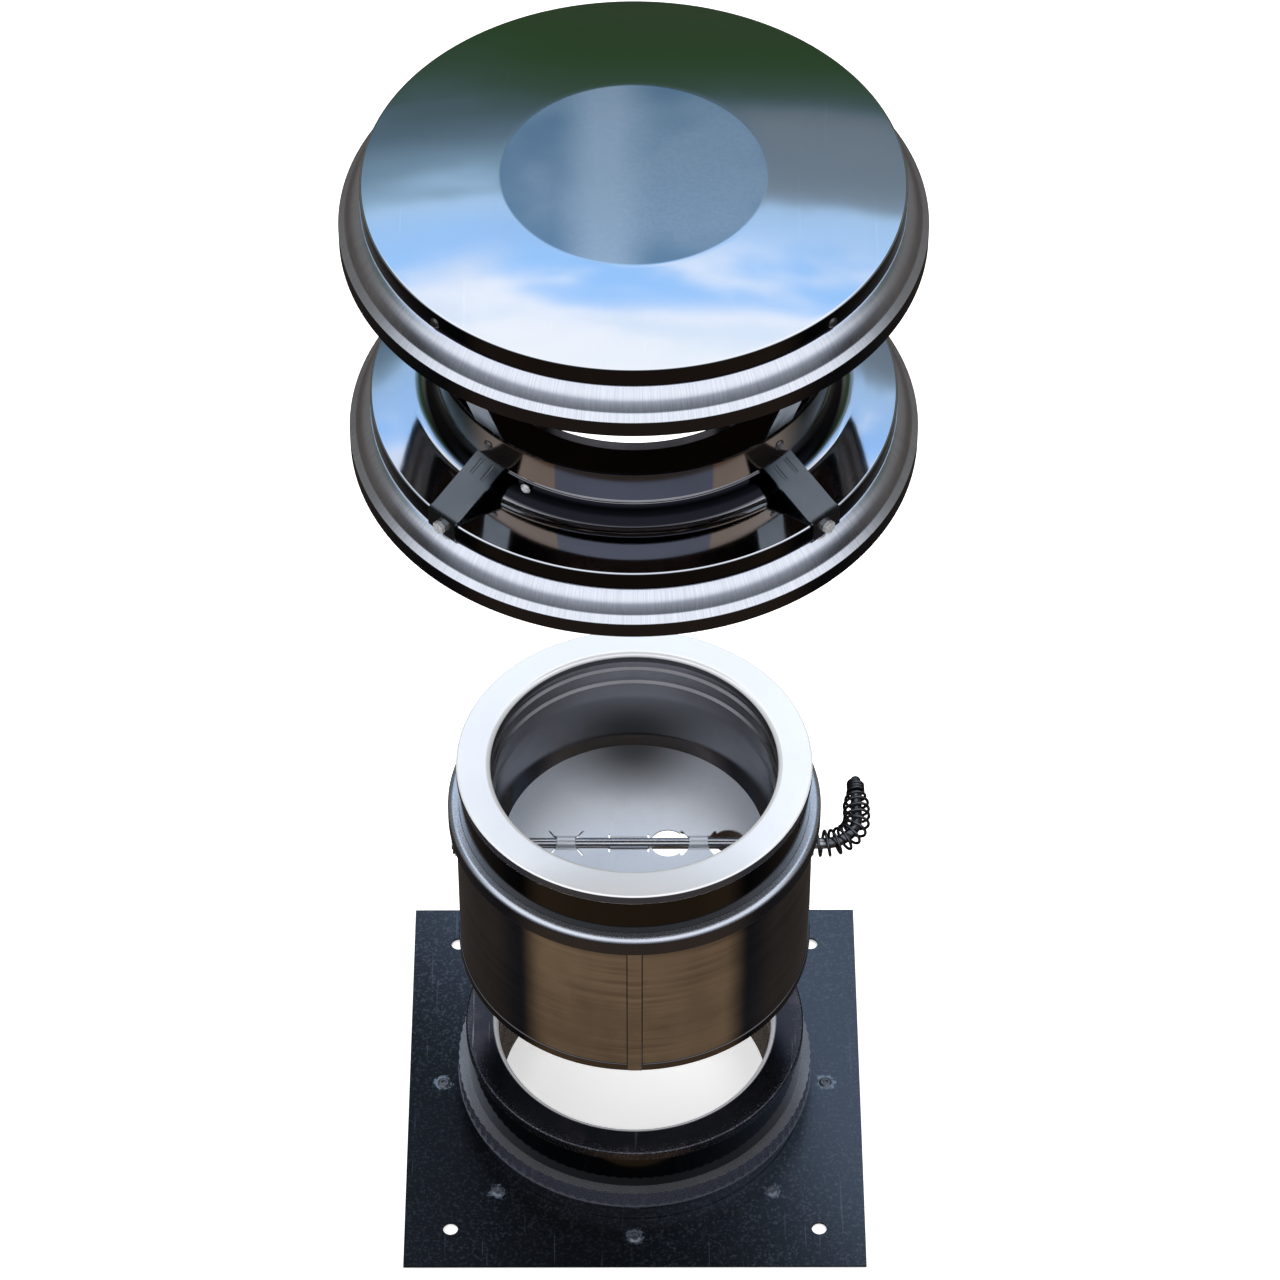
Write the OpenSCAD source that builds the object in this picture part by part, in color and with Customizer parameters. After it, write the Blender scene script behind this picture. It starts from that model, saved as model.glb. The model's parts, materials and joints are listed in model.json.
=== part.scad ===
/* [Flue] */
// Inside diameter of the inner pipe
flue_d = 200; // [180:1:220]
// Thickness of the wool between the inner and the outer pipe
wool_t = 25; // [22:1:30]
// Thickness of the stainless sheet
sheet_t = 1; // [0.8:0.1:1.2]
// Clearance all round where one unit slides over the next
fit_gap = 0.4; // [0.3:0.1:0.6]
// Depth of the socket at the top of a unit
socket_l = 40; // [38:1:44]
// Rounding of the mouth of a socket
mouth_round = 4; // [3:0.5:5]
// Rounding of the outer edge of a top ring
edge_round = 1.5; // [1.3:0.1:2]
// Height of the turned-down lips of a top ring
ring_lip_h = 8; // [6:0.5:9]
// Height of the bead that the next unit stands on
bead_h = 16; // [14:1:18]
// How far that bead stands out from the outer pipe
bead_out = 5.5; // [4.5:0.5:7]
// Rounding of the upper edge of the bead
bead_round = 4; // [3:0.5:4.5]
// Depth of the grooves pressed in a socket
groove_d = 2; // [1:0.5:3]
// Distance between the two grooves of a socket
groove_pitch = 14; // [12:1:15]
// Height of the folded hem at the foot of an outer pipe
hem_h = 7; // [5:1:10]
// How far that hem stands out
hem_out = 0.8; // [0.5:0.1:1.2]
// Play left above a seat when the units are put together
seat_gap = 0.3; // [0.2:0.1:0.5]

/* [Base plate] */
// How far the square plate reaches out from the outer pipe
plate_out = 43; // [40:1:60]
// Thickness of the plate
plate_t = 2; // [1.5:0.5:3]
// Diameter of the holes for the masonry bolts
bolt_hole_d = 11; // [9:0.5:13]
// Distance of those holes from the edges
bolt_inset = 34; // [25:1:38]
// Height of the collar above the underside
collar_h = 80; // [74:1:100]
// Thickness of the foot ring under the plate
foot_t = 1.2; // [1:0.1:1.6]
// How far the foot ring reaches out from the outer pipe
foot_out = 26; // [24:1:30]
// Distance of the plate rivets from the outer pipe
plate_rivet_out = 17; // [15:0.5:18]
// Number of plate rivets
plate_rivet_count = 8; // [6:1:12]
// Diameter of a plate rivet's head
plate_rivet_d = 10; // [8:0.5:11]
// Height of a plate rivet's head
plate_rivet_h = 1.2; // [0.8:0.1:1.6]
// Number of pleats in the crimped ring of the collar
crimp_count = 96; // [60:2:120]
// Depth of those pleats
crimp_d = 0.9; // [0.5:0.1:1.2]

/* [Damper section] */
// Height of the damper section from its shell's foot to its top ring
section_h = 190; // [184:1:220]
// Depth of the shaft below the top ring
shaft_depth = 90; // [86:1:93]
// Width of the lap seam down the shell
seam_w = 10; // [8:1:14]
// How far the lap seam stands out
seam_out = 0.8; // [0.5:0.1:1]

/* [Flap] */
// Gap between the flap and the inner pipe
flap_gap = 6; // [5:0.5:9]
// Gap between the ears of the flap and the inner pipe, along the shaft
ear_gap = 3; // [2.5:0.5:4]
// Width of an ear across the shaft
ear_w = 36; // [30:1:38]
// Thickness of the flap
blade_t = 1.2; // [1:0.1:1.5]
// Place of the left bridge along the shaft
left_bridge_x = -49; // [-52:1:-47]
// Place of the right bridge along the shaft
right_bridge_x = 46; // [44:1:48]
// Width of a bridge where it crosses the shaft
bridge_waist = 13; // [9:1:14]
// Width of a bridge where it leaves the flap
bridge_foot_w = 24; // [20:1:25]
// Length of a bridge across the shaft
bridge_l = 25; // [23:1:28]
// Diameter of the round holes beside the right bridge
flap_hole_d = 25; // [20:1:25]
// Distance of those holes from the right bridge
flap_hole_x = 22; // [22:0.5:23]
// Length of the slot along the shaft round the left bridge
slot_l = 63; // [60:1:64]
// Length of the grooves at the ears
ear_groove_l = 16; // [12:1:17]
// Length of the groove in the middle
mid_groove_l = 27; // [24:1:28]
// Softness of the bends where the flap is pressed round the shaft
fold_round = 2; // [1:0.5:2.5]

/* [Shaft and handle] */
// Diameter of the shaft
shaft_d = 8; // [7:0.5:9]
// Running clearance between shaft and bush
shaft_play = 0.05; // [0.03:0.01:0.1]
// Wall of a bush
bush_wall = 2.5; // [2:0.5:4]
// Diameter of a bush's flange
bush_flange_d = 18; // [17:1:22]
// Thickness of a bush's flange
bush_flange_t = 1.2; // [1:0.1:1.6]
// Thickness of the clip on the shaft's left end
clip_t = 1.4; // [1:0.1:2]
// Diameter of that clip
clip_d = 15; // [12:1:17]
// Radius of the bend between shaft and handle
bend_r = 24; // [22:1:30]
// Straight stretch of the shaft outside the shell
shaft_out = 9; // [8:1:14]
// Straight length of the handle past its bend
handle_l = 35; // [32:1:50]
// Outer diameter of the handle's spring
spring_d = 20; // [18:0.5:21]
// Diameter of the spring's wire
wire_d = 2.2; // [1.8:0.1:2.4]
// Number of curls of the spring
spring_turns = 14; // [10:1:15]

/* [Cowl] */
// How far the edge of a disc reaches out from the outer pipe
disc_out = 45; // [41:1:53]
// Height of the wall under the edge of a disc
disc_wall_h = 14; // [13:0.5:17]
// Rise of the top disc's dome, before its centre is pressed flat
disc_rise = 5.5; // [3:0.5:8]
// Diameter of the flat centre of the top disc
disc_centre_d = 168; // [140:1:180]
// Radius of the rim's round shoulder
rim_round = 18; // [14:1:20]
// Radius of the steeper stretch below that shoulder
rim_steep_r = 36; // [30:1:40]
// Radius of the valley below that stretch
rim_valley_r = 3; // [2.5:0.5:5]
// Length of the flare outside that valley
rim_flare_l = 5.5; // [4:0.5:6]
// Height of the rim's turned-down lip
rim_lip_h = 11; // [7:1:13]
// Height of the cap's edge above the lower dish's edge
cap_gap = 179; // [150:1:200]
// Height of the cowl's outer pipe below the dish
cowl_skirt_h = 100; // [90:1:110]
// Rise of the dish from its edge to its neck
dish_rise = 2; // [1:0.5:3]
// Radius of the fillet between dish and neck
neck_round = 16; // [14:1:17]
// Height of the band's lower edge above the dish's edge
band_z = 24; // [23:1:26]
// Height of the band
band_h = 22; // [18:1:26]
// Thickness of the band
band_t = 1.2; // [1:0.1:1.5]

/* [Legs and fasteners] */
// Width of a leg
leg_w = 24; // [20:1:28]
// Thickness of a leg
leg_t = 1.5; // [1.2:0.1:2]
// Diameter of the leg bolts
bolt_d = 5; // [4:0.5:6]
// Width of the bolt heads across their corners
bolt_head_d = 9.2; // [8:0.2:11]
// Height of the bolt heads
bolt_head_h = 3.5; // [3:0.5:4.5]
// Diameter of the rivets' shanks
rivet_d = 4; // [3:0.5:4.5]
// Diameter of the rivets' heads
rivet_head_d = 7.5; // [6:0.5:9]
// Height of the rivets' heads
rivet_head_h = 1.4; // [1:0.1:2]

/* [Taken apart] */
// How far the damper section is lifted off the collar
damper_lift = 140; // [100:1:180]
// How far the cowl is lifted off the damper section
cowl_lift = 310; // [250:1:360]

/* [Hidden] */

// Small clearance between pieces of one unit
snug = 0.2;
// Clearance of a rivet or bolt in its hole
hole_play = 0.1;
// Steps in a quarter round
arc_steps = 8;

// Radii of the twin wall, from the inside out
flue_r = flue_d / 2;
spigot_r = flue_r + sheet_t;
socket_r = spigot_r + fit_gap;
shell_ri = spigot_r + wool_t;
shell_ro = shell_ri + sheet_t;
ring_ro = shell_ri - fit_gap;
skirt_ro = ring_ro - sheet_t;
skirt_ri = skirt_ro - sheet_t;
bead_ro = shell_ro + bead_out;
bead_foot_round = 2;
groove_w = 6;
groove_flat = 2.8;
socket_cone_h = 3;
// Depth below a unit's top where the shell steps in to its skirt
step_depth = socket_l + bead_h / 2;
crimp_inset = 0.4;
// The inner pipe stops short of the shell's foot, and the closing ring sits above the socket
spigot_short = 2;
recess_gap = 1;
ring_turn_up = 8;

// Heights of the three units, taken apart
collar_top = collar_h;
damper_foot = collar_top - socket_l + seat_gap + damper_lift;
damper_top = damper_foot + section_h;
shaft_z = damper_top - shaft_depth;
cowl_foot = damper_top - socket_l + seat_gap + cowl_lift;
dish_z = cowl_foot + cowl_skirt_h;
cap_z = dish_z + cap_gap;

// Plate and its rivets
plate_w = 2 * (shell_ro + plate_out);
plate_z = foot_t;
plate_top = plate_z + plate_t;
plate_hole_r = shell_ro + snug;
foot_ro = shell_ro + foot_out;
plate_rivet_r = shell_ro + plate_rivet_out;
plate_rivet_shank_r = plate_rivet_d / 4;
plate_rivet_well_r = plate_rivet_d / 5;

// Flap
shaft_r = shaft_d / 2;
flap_r = flue_r - flap_gap;
ear_x = flue_r - ear_gap;
ear_round = 5;
bridge_play = 0.3;
slit = 1;
groove_l = 19;
mid_groove_x = -4;

// Bushes and the ends of the shaft
bush_bore_r = shaft_r + shaft_play;
bush_r = bush_bore_r + bush_wall;
bush_hole_r = bush_r + hole_play;
bush_in = flue_r - 1;
bush_seat = shell_ro + snug;
bush_out = bush_seat + bush_flange_t;
clip_x = bush_out + snug;
shaft_end_x = clip_x + clip_t + 1;
bend_x = shell_ro + shaft_out;

// Route of the handle: along X, round the bend, then along Y
spring_start_x = bush_out + snug + wire_d;
lead_l = bend_x - spring_start_x;
bend_l = PI / 2 * bend_r;
spring_stop = 2;
route_l = lead_l + bend_l + handle_l - spring_stop;
spring_base_r = (spring_d - wire_d) / 2;
spring_tip_r = shaft_r + wire_d / 2 + bridge_play;
spring_taper_from = 0.55;
spring_rings = 8;
spring_sides = 6;

// Cowl
disc_r = shell_ro + disc_out;
disc_edge_round = 1.5;
rim_flange_h = 11.5;
rim_start_slope = 62;
rim_mid_slope = 30;
rim_low_slope = 20;
rim_flare_slope = 48;
dome_steps = 8;
leg_bend_depth = 3.5;
neck_top = dish_rise + neck_round;
leg_tab_l = disc_wall_h - 1;
neck_ri = shell_ro + snug;
neck_ro = neck_ri + sheet_t;
pipe_above_dish = band_z + band_h - 1;
shell_above_dish = band_z + band_h - 3;
cowl_ring_turn_up = 2;
cowl_ring_above_dish = shell_above_dish - cowl_ring_turn_up;
leg_in = shell_ro + bridge_play;
leg_out = leg_in + leg_t;
band_ri = norm([leg_out, leg_w / 2]) + hole_play;
band_ro = band_ri + band_t;
// A flat tab inside a round wall touches at its corners
cap_tab_x = sqrt(pow(disc_r - 2 * sheet_t - hole_play, 2) - pow(leg_w / 2, 2)) - leg_t;
bolt_r = bolt_d / 2;
bolt_hole_r = bolt_r + hole_play;
rivet_r = rivet_d / 2;
rivet_hole_r = rivet_r + hole_play;
bolt_z = -disc_wall_h / 2;
cap_rivet_z = -disc_wall_h / 2 - 2;
band_rivet_z = band_z + band_h / 2;
neck_rivet_z = neck_top - 4;
nut_h = 4;
leg_angles = [225, 315, 135, 45];
neck_rivet_angles = [58, 238];

mirror_steel = [0.80, 0.84, 0.90];
satin_steel = [0.66, 0.68, 0.71];
dark_steel = [0.24, 0.22, 0.22];
bright_steel = [0.90, 0.92, 0.96];
flap_steel = [0.70, 0.74, 0.80];
galvanised = [0.27, 0.31, 0.37];
spring_steel = [0.16, 0.17, 0.19];
wool = [0.72, 0.66, 0.48];

// Points of an arc about c
function arc(c, r, from, to, steps = arc_steps) =
    [for (i = [0 : steps]) c + r * [cos(from + (to - from) * i / steps), sin(from + (to - from) * i / steps)]];

function left_normal(a, b) = [a[1] - b[1], b[0] - a[0]] / norm(b - a);

function corner_shift(path, i) =
    let (last = len(path) - 1,
        before = left_normal(path[max(i - 1, 0)], path[max(i, 1)]),
        after = left_normal(path[min(i, last - 1)], path[min(i + 1, last)]))
    (before + after) / (1 + before * after);

// Outline of a sheet of thickness t on the left of a path, or on its right where t is negative
function sheet(path, t) =
    concat(path, [for (i = [len(path) - 1 : -1 : 0]) path[i] + t * corner_shift(path, i)]);

module spun(profile) {
    rotate_extrude($fn = 180) polygon(profile);
}

module at_angles(angles) {
    for (a = angles) rotate([0, 0, a]) children();
}

// A round bar along X from x0 to x1
module bar_x(x0, x1, r) {
    translate([x0, 0, 0]) rotate([0, 90, 0]) cylinder(h = x1 - x0, r = r, $fn = 48);
}

// The end of a unit that the next one slides over, with 0 at the top
function top_ring_profile() = sheet(concat(
    [[ring_ro, -ring_lip_h]],
    arc([ring_ro - edge_round, -edge_round], edge_round, 0, 90),
    arc([socket_r + mouth_round, -mouth_round], mouth_round, 90, 180),
    [[socket_r, -ring_lip_h]]), sheet_t);

function outer_pipe_profile(foot, hem) =
    let (skirt_top = -sheet_t - edge_round)
    concat(
        hem
            ? [[shell_ri, foot], [shell_ro + hem_out, foot], [shell_ro + hem_out, foot + hem_h], [shell_ro, foot + hem_h]]
            : [[shell_ri, foot], [shell_ro, foot]],
        [[shell_ro, -step_depth], [skirt_ro, -step_depth], [skirt_ro, skirt_top], [skirt_ri, skirt_top],
            [skirt_ri, -step_depth - sheet_t], [shell_ri, -step_depth - sheet_t]]);

function groove(z) = [[socket_r, z - groove_w / 2], [socket_r + groove_d, z - groove_flat / 2],
    [socket_r + groove_d, z + groove_flat / 2], [socket_r, z + groove_w / 2]];

function inner_pipe_profile(foot) =
    let (upper = -ring_lip_h - groove_w)
    sheet(concat(
        [[flue_r, foot], [flue_r, -socket_l - 2 * socket_cone_h], [socket_r, -socket_l - socket_cone_h]],
        groove(upper - groove_pitch),
        groove(upper),
        [[socket_r, -ring_lip_h]]), -sheet_t);

function bead_profile() =
    let (top = -socket_l, foot = -socket_l - bead_h)
    sheet(concat(
        [[skirt_ro, top]],
        arc([bead_ro - bead_round, top - bead_round], bead_round, 90, 0),
        arc([bead_ro - bead_foot_round, foot + bead_foot_round], bead_foot_round, 0, -90),
        [[shell_ro, foot]]), -sheet_t);

function wool_profile(foot) =
    let (top = -sheet_t - 1,
        under_step = -step_depth - sheet_t - snug,
        lower_r = shell_ri - sheet_t - snug,
        upper_r = skirt_ri - snug,
        socket_side = socket_r + groove_d + sheet_t + snug)
    [[spigot_r + snug, foot], [lower_r, foot], [lower_r, under_step], [upper_r, under_step],
        [upper_r, top], [socket_side, top], [socket_side, -socket_l - socket_cone_h],
        [spigot_r + snug, -socket_l - 3 * socket_cone_h]];

// A ring that closes the wool, its turned-up edge against the shell
function closing_ring_profile(z, turn_up) =
    sheet([[shell_ri, z + turn_up], [shell_ri, z], [spigot_r, z]], -sheet_t);

// The hole for the bushes, through both walls
module shaft_hole() {
    translate([0, 0, shaft_z - damper_top]) bar_x(-bead_ro, bead_ro, bush_hole_r);
}

module base_plate() {
    color(galvanised)
    difference() {
        translate([-plate_w / 2, -plate_w / 2, plate_z]) cube([plate_w, plate_w, plate_t]);
        translate([0, 0, plate_z - 1]) cylinder(h = plate_t + 2, r = plate_hole_r, $fn = 180);
        for (x = [-1, 1], y = [-1, 1])
            translate([x * (plate_w / 2 - bolt_inset), y * (plate_w / 2 - bolt_inset), plate_z - 1])
                cylinder(h = plate_t + 2, d = bolt_hole_d, $fn = 48);
        plate_rivet_holes();
    }
}

module plate_rivet_holes() {
    at_angles([for (i = [0 : plate_rivet_count - 1]) 360 * i / plate_rivet_count])
        translate([plate_rivet_r, 0, -1])
            cylinder(h = plate_top + 2, r = plate_rivet_shank_r + hole_play, $fn = 32);
}

module collar_foot_ring() {
    color(galvanised)
    difference() {
        cylinder(h = foot_t, r = foot_ro, $fn = 180);
        translate([0, 0, -1]) cylinder(h = foot_t + 2, r = spigot_r + snug, $fn = 180);
        plate_rivet_holes();
    }
}

module plate_rivets() {
    color(satin_steel)
    at_angles([for (i = [0 : plate_rivet_count - 1]) 360 * i / plate_rivet_count])
        translate([plate_rivet_r, 0, 0])
            difference() {
                union() {
                    cylinder(h = plate_top, r = plate_rivet_shank_r, $fn = 32);
                    translate([0, 0, plate_top])
                        cylinder(h = plate_rivet_h, r1 = plate_rivet_d / 2, r2 = plate_rivet_d / 3, $fn = 32);
                }
                translate([0, 0, plate_top]) cylinder(h = plate_rivet_h + 1, r = plate_rivet_well_r, $fn = 32);
            }
}

module collar_outer_shell() {
    color(dark_steel)
    translate([0, 0, collar_top]) spun(outer_pipe_profile(foot_t - collar_top, false));
}

// A bead like the damper section's, its wall crimped in pleats above a smooth foot
module collar_crimp_ring() {
    foot = collar_top - socket_l - bead_h;
    pleat_r = bead_ro - crimp_inset;
    pleats = [for (i = [0 : 2 * crimp_count - 1])
        (pleat_r - (i % 2) * crimp_d) * [cos(180 * i / crimp_count), sin(180 * i / crimp_count)]];
    color(satin_steel)
    translate([0, 0, foot])
    difference() {
        union() {
            cylinder(h = sheet_t, r = bead_ro, $fn = 180);
            translate([0, 0, sheet_t / 2]) linear_extrude(bead_h - sheet_t / 2) polygon(pleats);
        }
        translate([0, 0, -1]) cylinder(h = bead_h - step_depth + socket_l + 1, r = shell_ro, $fn = 180);
        translate([0, 0, -1]) cylinder(h = bead_h + 2, r = skirt_ro, $fn = 180);
        translate([0, 0, sheet_t])
            cylinder(h = bead_h - 2 * sheet_t, r = pleat_r - crimp_d - sheet_t, $fn = 180);
    }
}

module collar_top_ring() {
    color(dark_steel)
    translate([0, 0, collar_top]) spun(top_ring_profile());
}

module collar_inner_pipe() {
    color([0.42, 0.37, 0.33])
    translate([0, 0, collar_top]) spun(inner_pipe_profile(-collar_top));
}

module collar_insulation() {
    color(wool)
    translate([0, 0, collar_top]) spun(wool_profile(foot_t - collar_top + snug));
}

module damper_outer_shell() {
    foot = -section_h;
    color(dark_steel)
    translate([0, 0, damper_top])
    difference() {
        union() {
            spun(outer_pipe_profile(foot, true));
            intersection() {
                translate([0, 0, foot])
                difference() {
                    cylinder(h = section_h - step_depth - bead_h / 2, r = shell_ro + seam_out, $fn = 180);
                    translate([0, 0, -1]) cylinder(h = section_h, r = shell_ri, $fn = 180);
                }
                translate([-seam_w / 2, -2 * shell_ro, foot])
                    cube([seam_w, 2 * shell_ro, section_h]);
            }
        }
        shaft_hole();
    }
}

module damper_flange_ring() {
    color(satin_steel)
    translate([0, 0, damper_top]) spun(bead_profile());
}

module damper_top_ring() {
    color(bright_steel)
    translate([0, 0, damper_top]) spun(top_ring_profile());
}

module damper_inner_pipe() {
    color([0.45, 0.45, 0.47])
    translate([0, 0, damper_top])
    difference() {
        spun(inner_pipe_profile(-section_h + spigot_short));
        shaft_hole();
    }
}

module damper_bottom_ring() {
    color(satin_steel)
    translate([0, 0, damper_top]) spun(closing_ring_profile(-section_h + socket_l + recess_gap, ring_turn_up));
}

module damper_insulation() {
    color(wool)
    translate([0, 0, damper_top])
    difference() {
        spun(wool_profile(-section_h + socket_l + recess_gap + sheet_t + snug));
        shaft_hole();
    }
}

// A bush through both walls, its flange against the outside of the shell
module bush(side) {
    color(satin_steel)
    translate([0, 0, shaft_z])
    difference() {
        mirror([side < 0 ? 1 : 0, 0, 0]) {
            bar_x(bush_in, bush_out, bush_r);
            bar_x(bush_seat, bush_out, bush_flange_d / 2);
        }
        bar_x(-bush_out - 1, bush_out + 1, bush_bore_r);
    }
}

module shaft_bush_left() { bush(-1); }

module shaft_bush_right() { bush(1); }

// Section of the flap where it is pressed over the shaft, in Y and Z
function fold_profile(half_l) =
    let (inner_r = shaft_r + bridge_play,
        bend = fold_round + blade_t,
        rise = bend - blade_t / 2,
        reach = sqrt(pow(inner_r + bend, 2) - rise * rise),
        lean = atan2(rise, reach),
        step = 6)
    sheet(concat(
        [[-half_l, -blade_t / 2]],
        arc([-reach, rise], bend, -90, -lean),
        arc([0, 0], inner_r, 180 - lean - step, lean + step, 2 * arc_steps),
        arc([reach, rise], bend, 180 + lean, 270),
        [[half_l, -blade_t / 2]]), blade_t);

// A stretch of the flap, centred at x, that is pressed over the shaft
module fold(x, l, across) {
    translate([x - l / 2, 0, 0]) rotate([90, 0, 90]) linear_extrude(l) polygon(fold_profile(across / 2));
}

// Outline of a strap that is narrow where it crosses the shaft, widened by a margin at its sides
module waisted(margin, half_l) {
    foot = bridge_foot_w / 2 + margin;
    waist = bridge_waist / 2 + margin;
    polygon([[-foot, -half_l], [-waist, -shaft_r], [-waist, shaft_r], [-foot, half_l],
        [foot, half_l], [waist, shaft_r], [waist, -shaft_r], [foot, -half_l]]);
}

// A strap over the shaft
module bridge(x) {
    intersection() {
        fold(x, bridge_foot_w, bridge_l);
        translate([x, 0, -shaft_d]) linear_extrude(2 * shaft_d) waisted(0, bridge_l / 2);
    }
}

// A groove under the shaft
module trough(x, l) {
    mirror([0, 0, 1]) fold(x, l, groove_l);
}

// The opening that a fold leaves in the flat sheet
module window(x, l, across) {
    translate([x, 0]) square([l, across - 2 * slit], center = true);
}

module flap_outline() {
    circle(r = flap_r, $fn = 180);
    square([2 * ear_x, ear_w - 2 * ear_round], center = true);
    square([2 * (ear_x - ear_round), ear_w], center = true);
    for (x = [-1, 1], y = [-1, 1])
        translate([x * (ear_x - ear_round), y * (ear_w / 2 - ear_round)]) circle(r = ear_round, $fn = 48);
}

module flap_blade() {
    ear_groove_x = ear_x - ear_groove_l / 2;
    color(flap_steel)
    translate([0, 0, shaft_z]) {
        translate([0, 0, -blade_t / 2])
        linear_extrude(blade_t)
        difference() {
            flap_outline();
            square([2 * ear_x + 1, 2 * (shaft_r + bridge_play)], center = true);
            window(mid_groove_x, mid_groove_l + 2 * slit, groove_l);
            for (side = [-1, 1])
                window(side * ear_groove_x, ear_groove_l + 2 * slit, groove_l);
            for (side = [-1, 1])
                translate([right_bridge_x + side * flap_hole_x, 0]) circle(d = flap_hole_d, $fn = 64);
            translate([left_bridge_x, 0]) {
                square([slot_l, 2 * (shaft_r + slit)], center = true);
                waisted(slit, bridge_l / 2 - slit);
            }
            window(right_bridge_x, bridge_foot_w + 2 * slit, bridge_l);
        }
        trough(mid_groove_x, mid_groove_l);
        trough(-ear_groove_x, ear_groove_l);
        trough(ear_groove_x, ear_groove_l);
        bridge(left_bridge_x);
        bridge(right_bridge_x);
    }
}

// The shaft and its handle are one bent rod
module damper_shaft() {
    color(satin_steel)
    translate([0, 0, shaft_z]) {
        bar_x(-shaft_end_x, bend_x, shaft_r);
        translate([bend_x, bend_r, 0])
            rotate([0, 0, -90]) rotate_extrude(angle = 90, $fn = 96) translate([bend_r, 0]) circle(r = shaft_r, $fn = 48);
        translate([bend_x + bend_r, bend_r, 0])
            rotate([-90, 0, 0]) cylinder(h = handle_l, r = shaft_r, $fn = 48);
        translate([bend_x + bend_r, bend_r + handle_l, 0]) sphere(r = shaft_r, $fn = 48);
    }
}

module shaft_end_clip() {
    color(spring_steel)
    translate([0, 0, shaft_z])
    difference() {
        bar_x(-clip_x - clip_t, -clip_x, clip_d / 2);
        bar_x(-clip_x - clip_t - 1, -clip_x + 1, bush_bore_r);
    }
}

// Heading of the handle's route at distance s, in degrees
function heading(s) = min(90, max(0, (s - lead_l) / bend_l * 90));

function route(s) =
    s < lead_l ? [spring_start_x + s, 0]
    : s < lead_l + bend_l ? [bend_x, bend_r] + bend_r * [sin(heading(s)), -cos(heading(s))]
    : [bend_x + bend_r, bend_r + s - lead_l - bend_l];

function curl_r(s) =
    let (u = max(0, s / route_l - spring_taper_from) / (1 - spring_taper_from))
    spring_base_r + (spring_tip_r - spring_base_r) * u * u * (3 - 2 * u);

// Outward direction of the wire on curl angle a, seen from the route
function wire_side(s, a) = [-sin(heading(s)) * cos(a), cos(heading(s)) * cos(a), sin(a)];

function wire_point(i) =
    let (s = route_l * i / (spring_turns * spring_rings), a = 360 * i / spring_rings + 90, p = route(s))
    [p[0], p[1], 0] + curl_r(s) * wire_side(s, a);

function unit(v) = v / norm(v);

function wire_ring(i) =
    let (s = route_l * i / (spring_turns * spring_rings),
        out = wire_side(s, 360 * i / spring_rings + 90),
        last = spring_turns * spring_rings,
        ahead = unit(wire_point(min(i + 1, last)) - wire_point(max(i - 1, 0))),
        side = unit(cross(ahead, out)),
        up = cross(side, ahead))
    [for (k = [0 : spring_sides - 1])
        wire_point(i) + wire_d / 2 * (cos(360 * k / spring_sides) * up + sin(360 * k / spring_sides) * side)];

module handle_spring() {
    last = spring_turns * spring_rings;
    points = [for (i = [0 : last]) each wire_ring(i)];
    walls = [for (i = [0 : last - 1], k = [0 : spring_sides - 1])
        let (a = i * spring_sides + k, b = i * spring_sides + (k + 1) % spring_sides)
        each [[a, a + spring_sides, b], [b, a + spring_sides, b + spring_sides]]];
    first_cap = [for (k = [1 : spring_sides - 2]) [0, k, k + 1]];
    base = last * spring_sides;
    last_cap = [for (k = [1 : spring_sides - 2]) [base, base + k + 1, base + k]];
    gap = min([for (i = [0 : last - 5], j = [i + 5 : min(i + 12, last)]) norm(wire_point(i) - wire_point(j))]) - wire_d;
    echo(spring_least_gap = gap);
    color(spring_steel)
    translate([0, 0, shaft_z])
        polyhedron(points = points, faces = concat(walls, first_cap, last_cap));
}

// Height of the top disc above its edge, at radius r
function dome_height(r) = disc_rise * (1 - pow(r / (disc_r - disc_edge_round), 2));

// The flat-topped disc's edge, its wall and the rim, with 0 at the edge
function disc_edge() = concat(
    arc([disc_r - disc_edge_round, -disc_edge_round], disc_edge_round, 90, 0),
    [[disc_r, -disc_wall_h]]);

function toward(a) = [cos(a), sin(a)];

// A stretch that carries on from p, its outward normal turning from one slope to the other
function carry_on(p, r, from, to) = arc(p - r * toward(from), r, from, to);

function rim_profile() =
    let (seat = [disc_r, -disc_wall_h],
        shoulder = carry_on(seat, rim_round, rim_start_slope, rim_mid_slope),
        steep = carry_on(shoulder[arc_steps], rim_steep_r, rim_mid_slope, rim_low_slope),
        valley = carry_on(steep[arc_steps], -rim_valley_r, rim_low_slope, rim_flare_slope),
        edge = valley[arc_steps] + rim_flare_l * [sin(rim_flare_slope), -cos(rim_flare_slope)])
    sheet(concat(
        [[disc_r - sheet_t, rim_flange_h - disc_wall_h], [disc_r - sheet_t, -disc_wall_h]],
        shoulder,
        [for (i = [1 : arc_steps]) steep[i]],
        [for (i = [1 : arc_steps]) valley[i]],
        [edge, edge - [0, rim_lip_h]]), -sheet_t);

module radial_holes(angles, z, r, from, to) {
    at_angles(angles) translate([0, 0, z]) bar_x(from, to, r);
}

module cap_disc() {
    centre_r = disc_centre_d / 2;
    color(mirror_steel)
    translate([0, 0, cap_z])
    difference() {
        spun(sheet(concat(
            [[0, dome_height(centre_r)]],
            [for (i = [0 : dome_steps - 1])
                let (r = centre_r + (disc_r - disc_edge_round - centre_r) * i / dome_steps) [r, dome_height(r)]],
            disc_edge()), -sheet_t));
        radial_holes(leg_angles, cap_rivet_z, rivet_hole_r, cap_tab_x, disc_r + 2);
    }
}

module cap_rim() {
    color(satin_steel)
    translate([0, 0, cap_z])
    difference() {
        spun(rim_profile());
        radial_holes(leg_angles, cap_rivet_z, rivet_hole_r, cap_tab_x, disc_r);
    }
}

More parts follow.
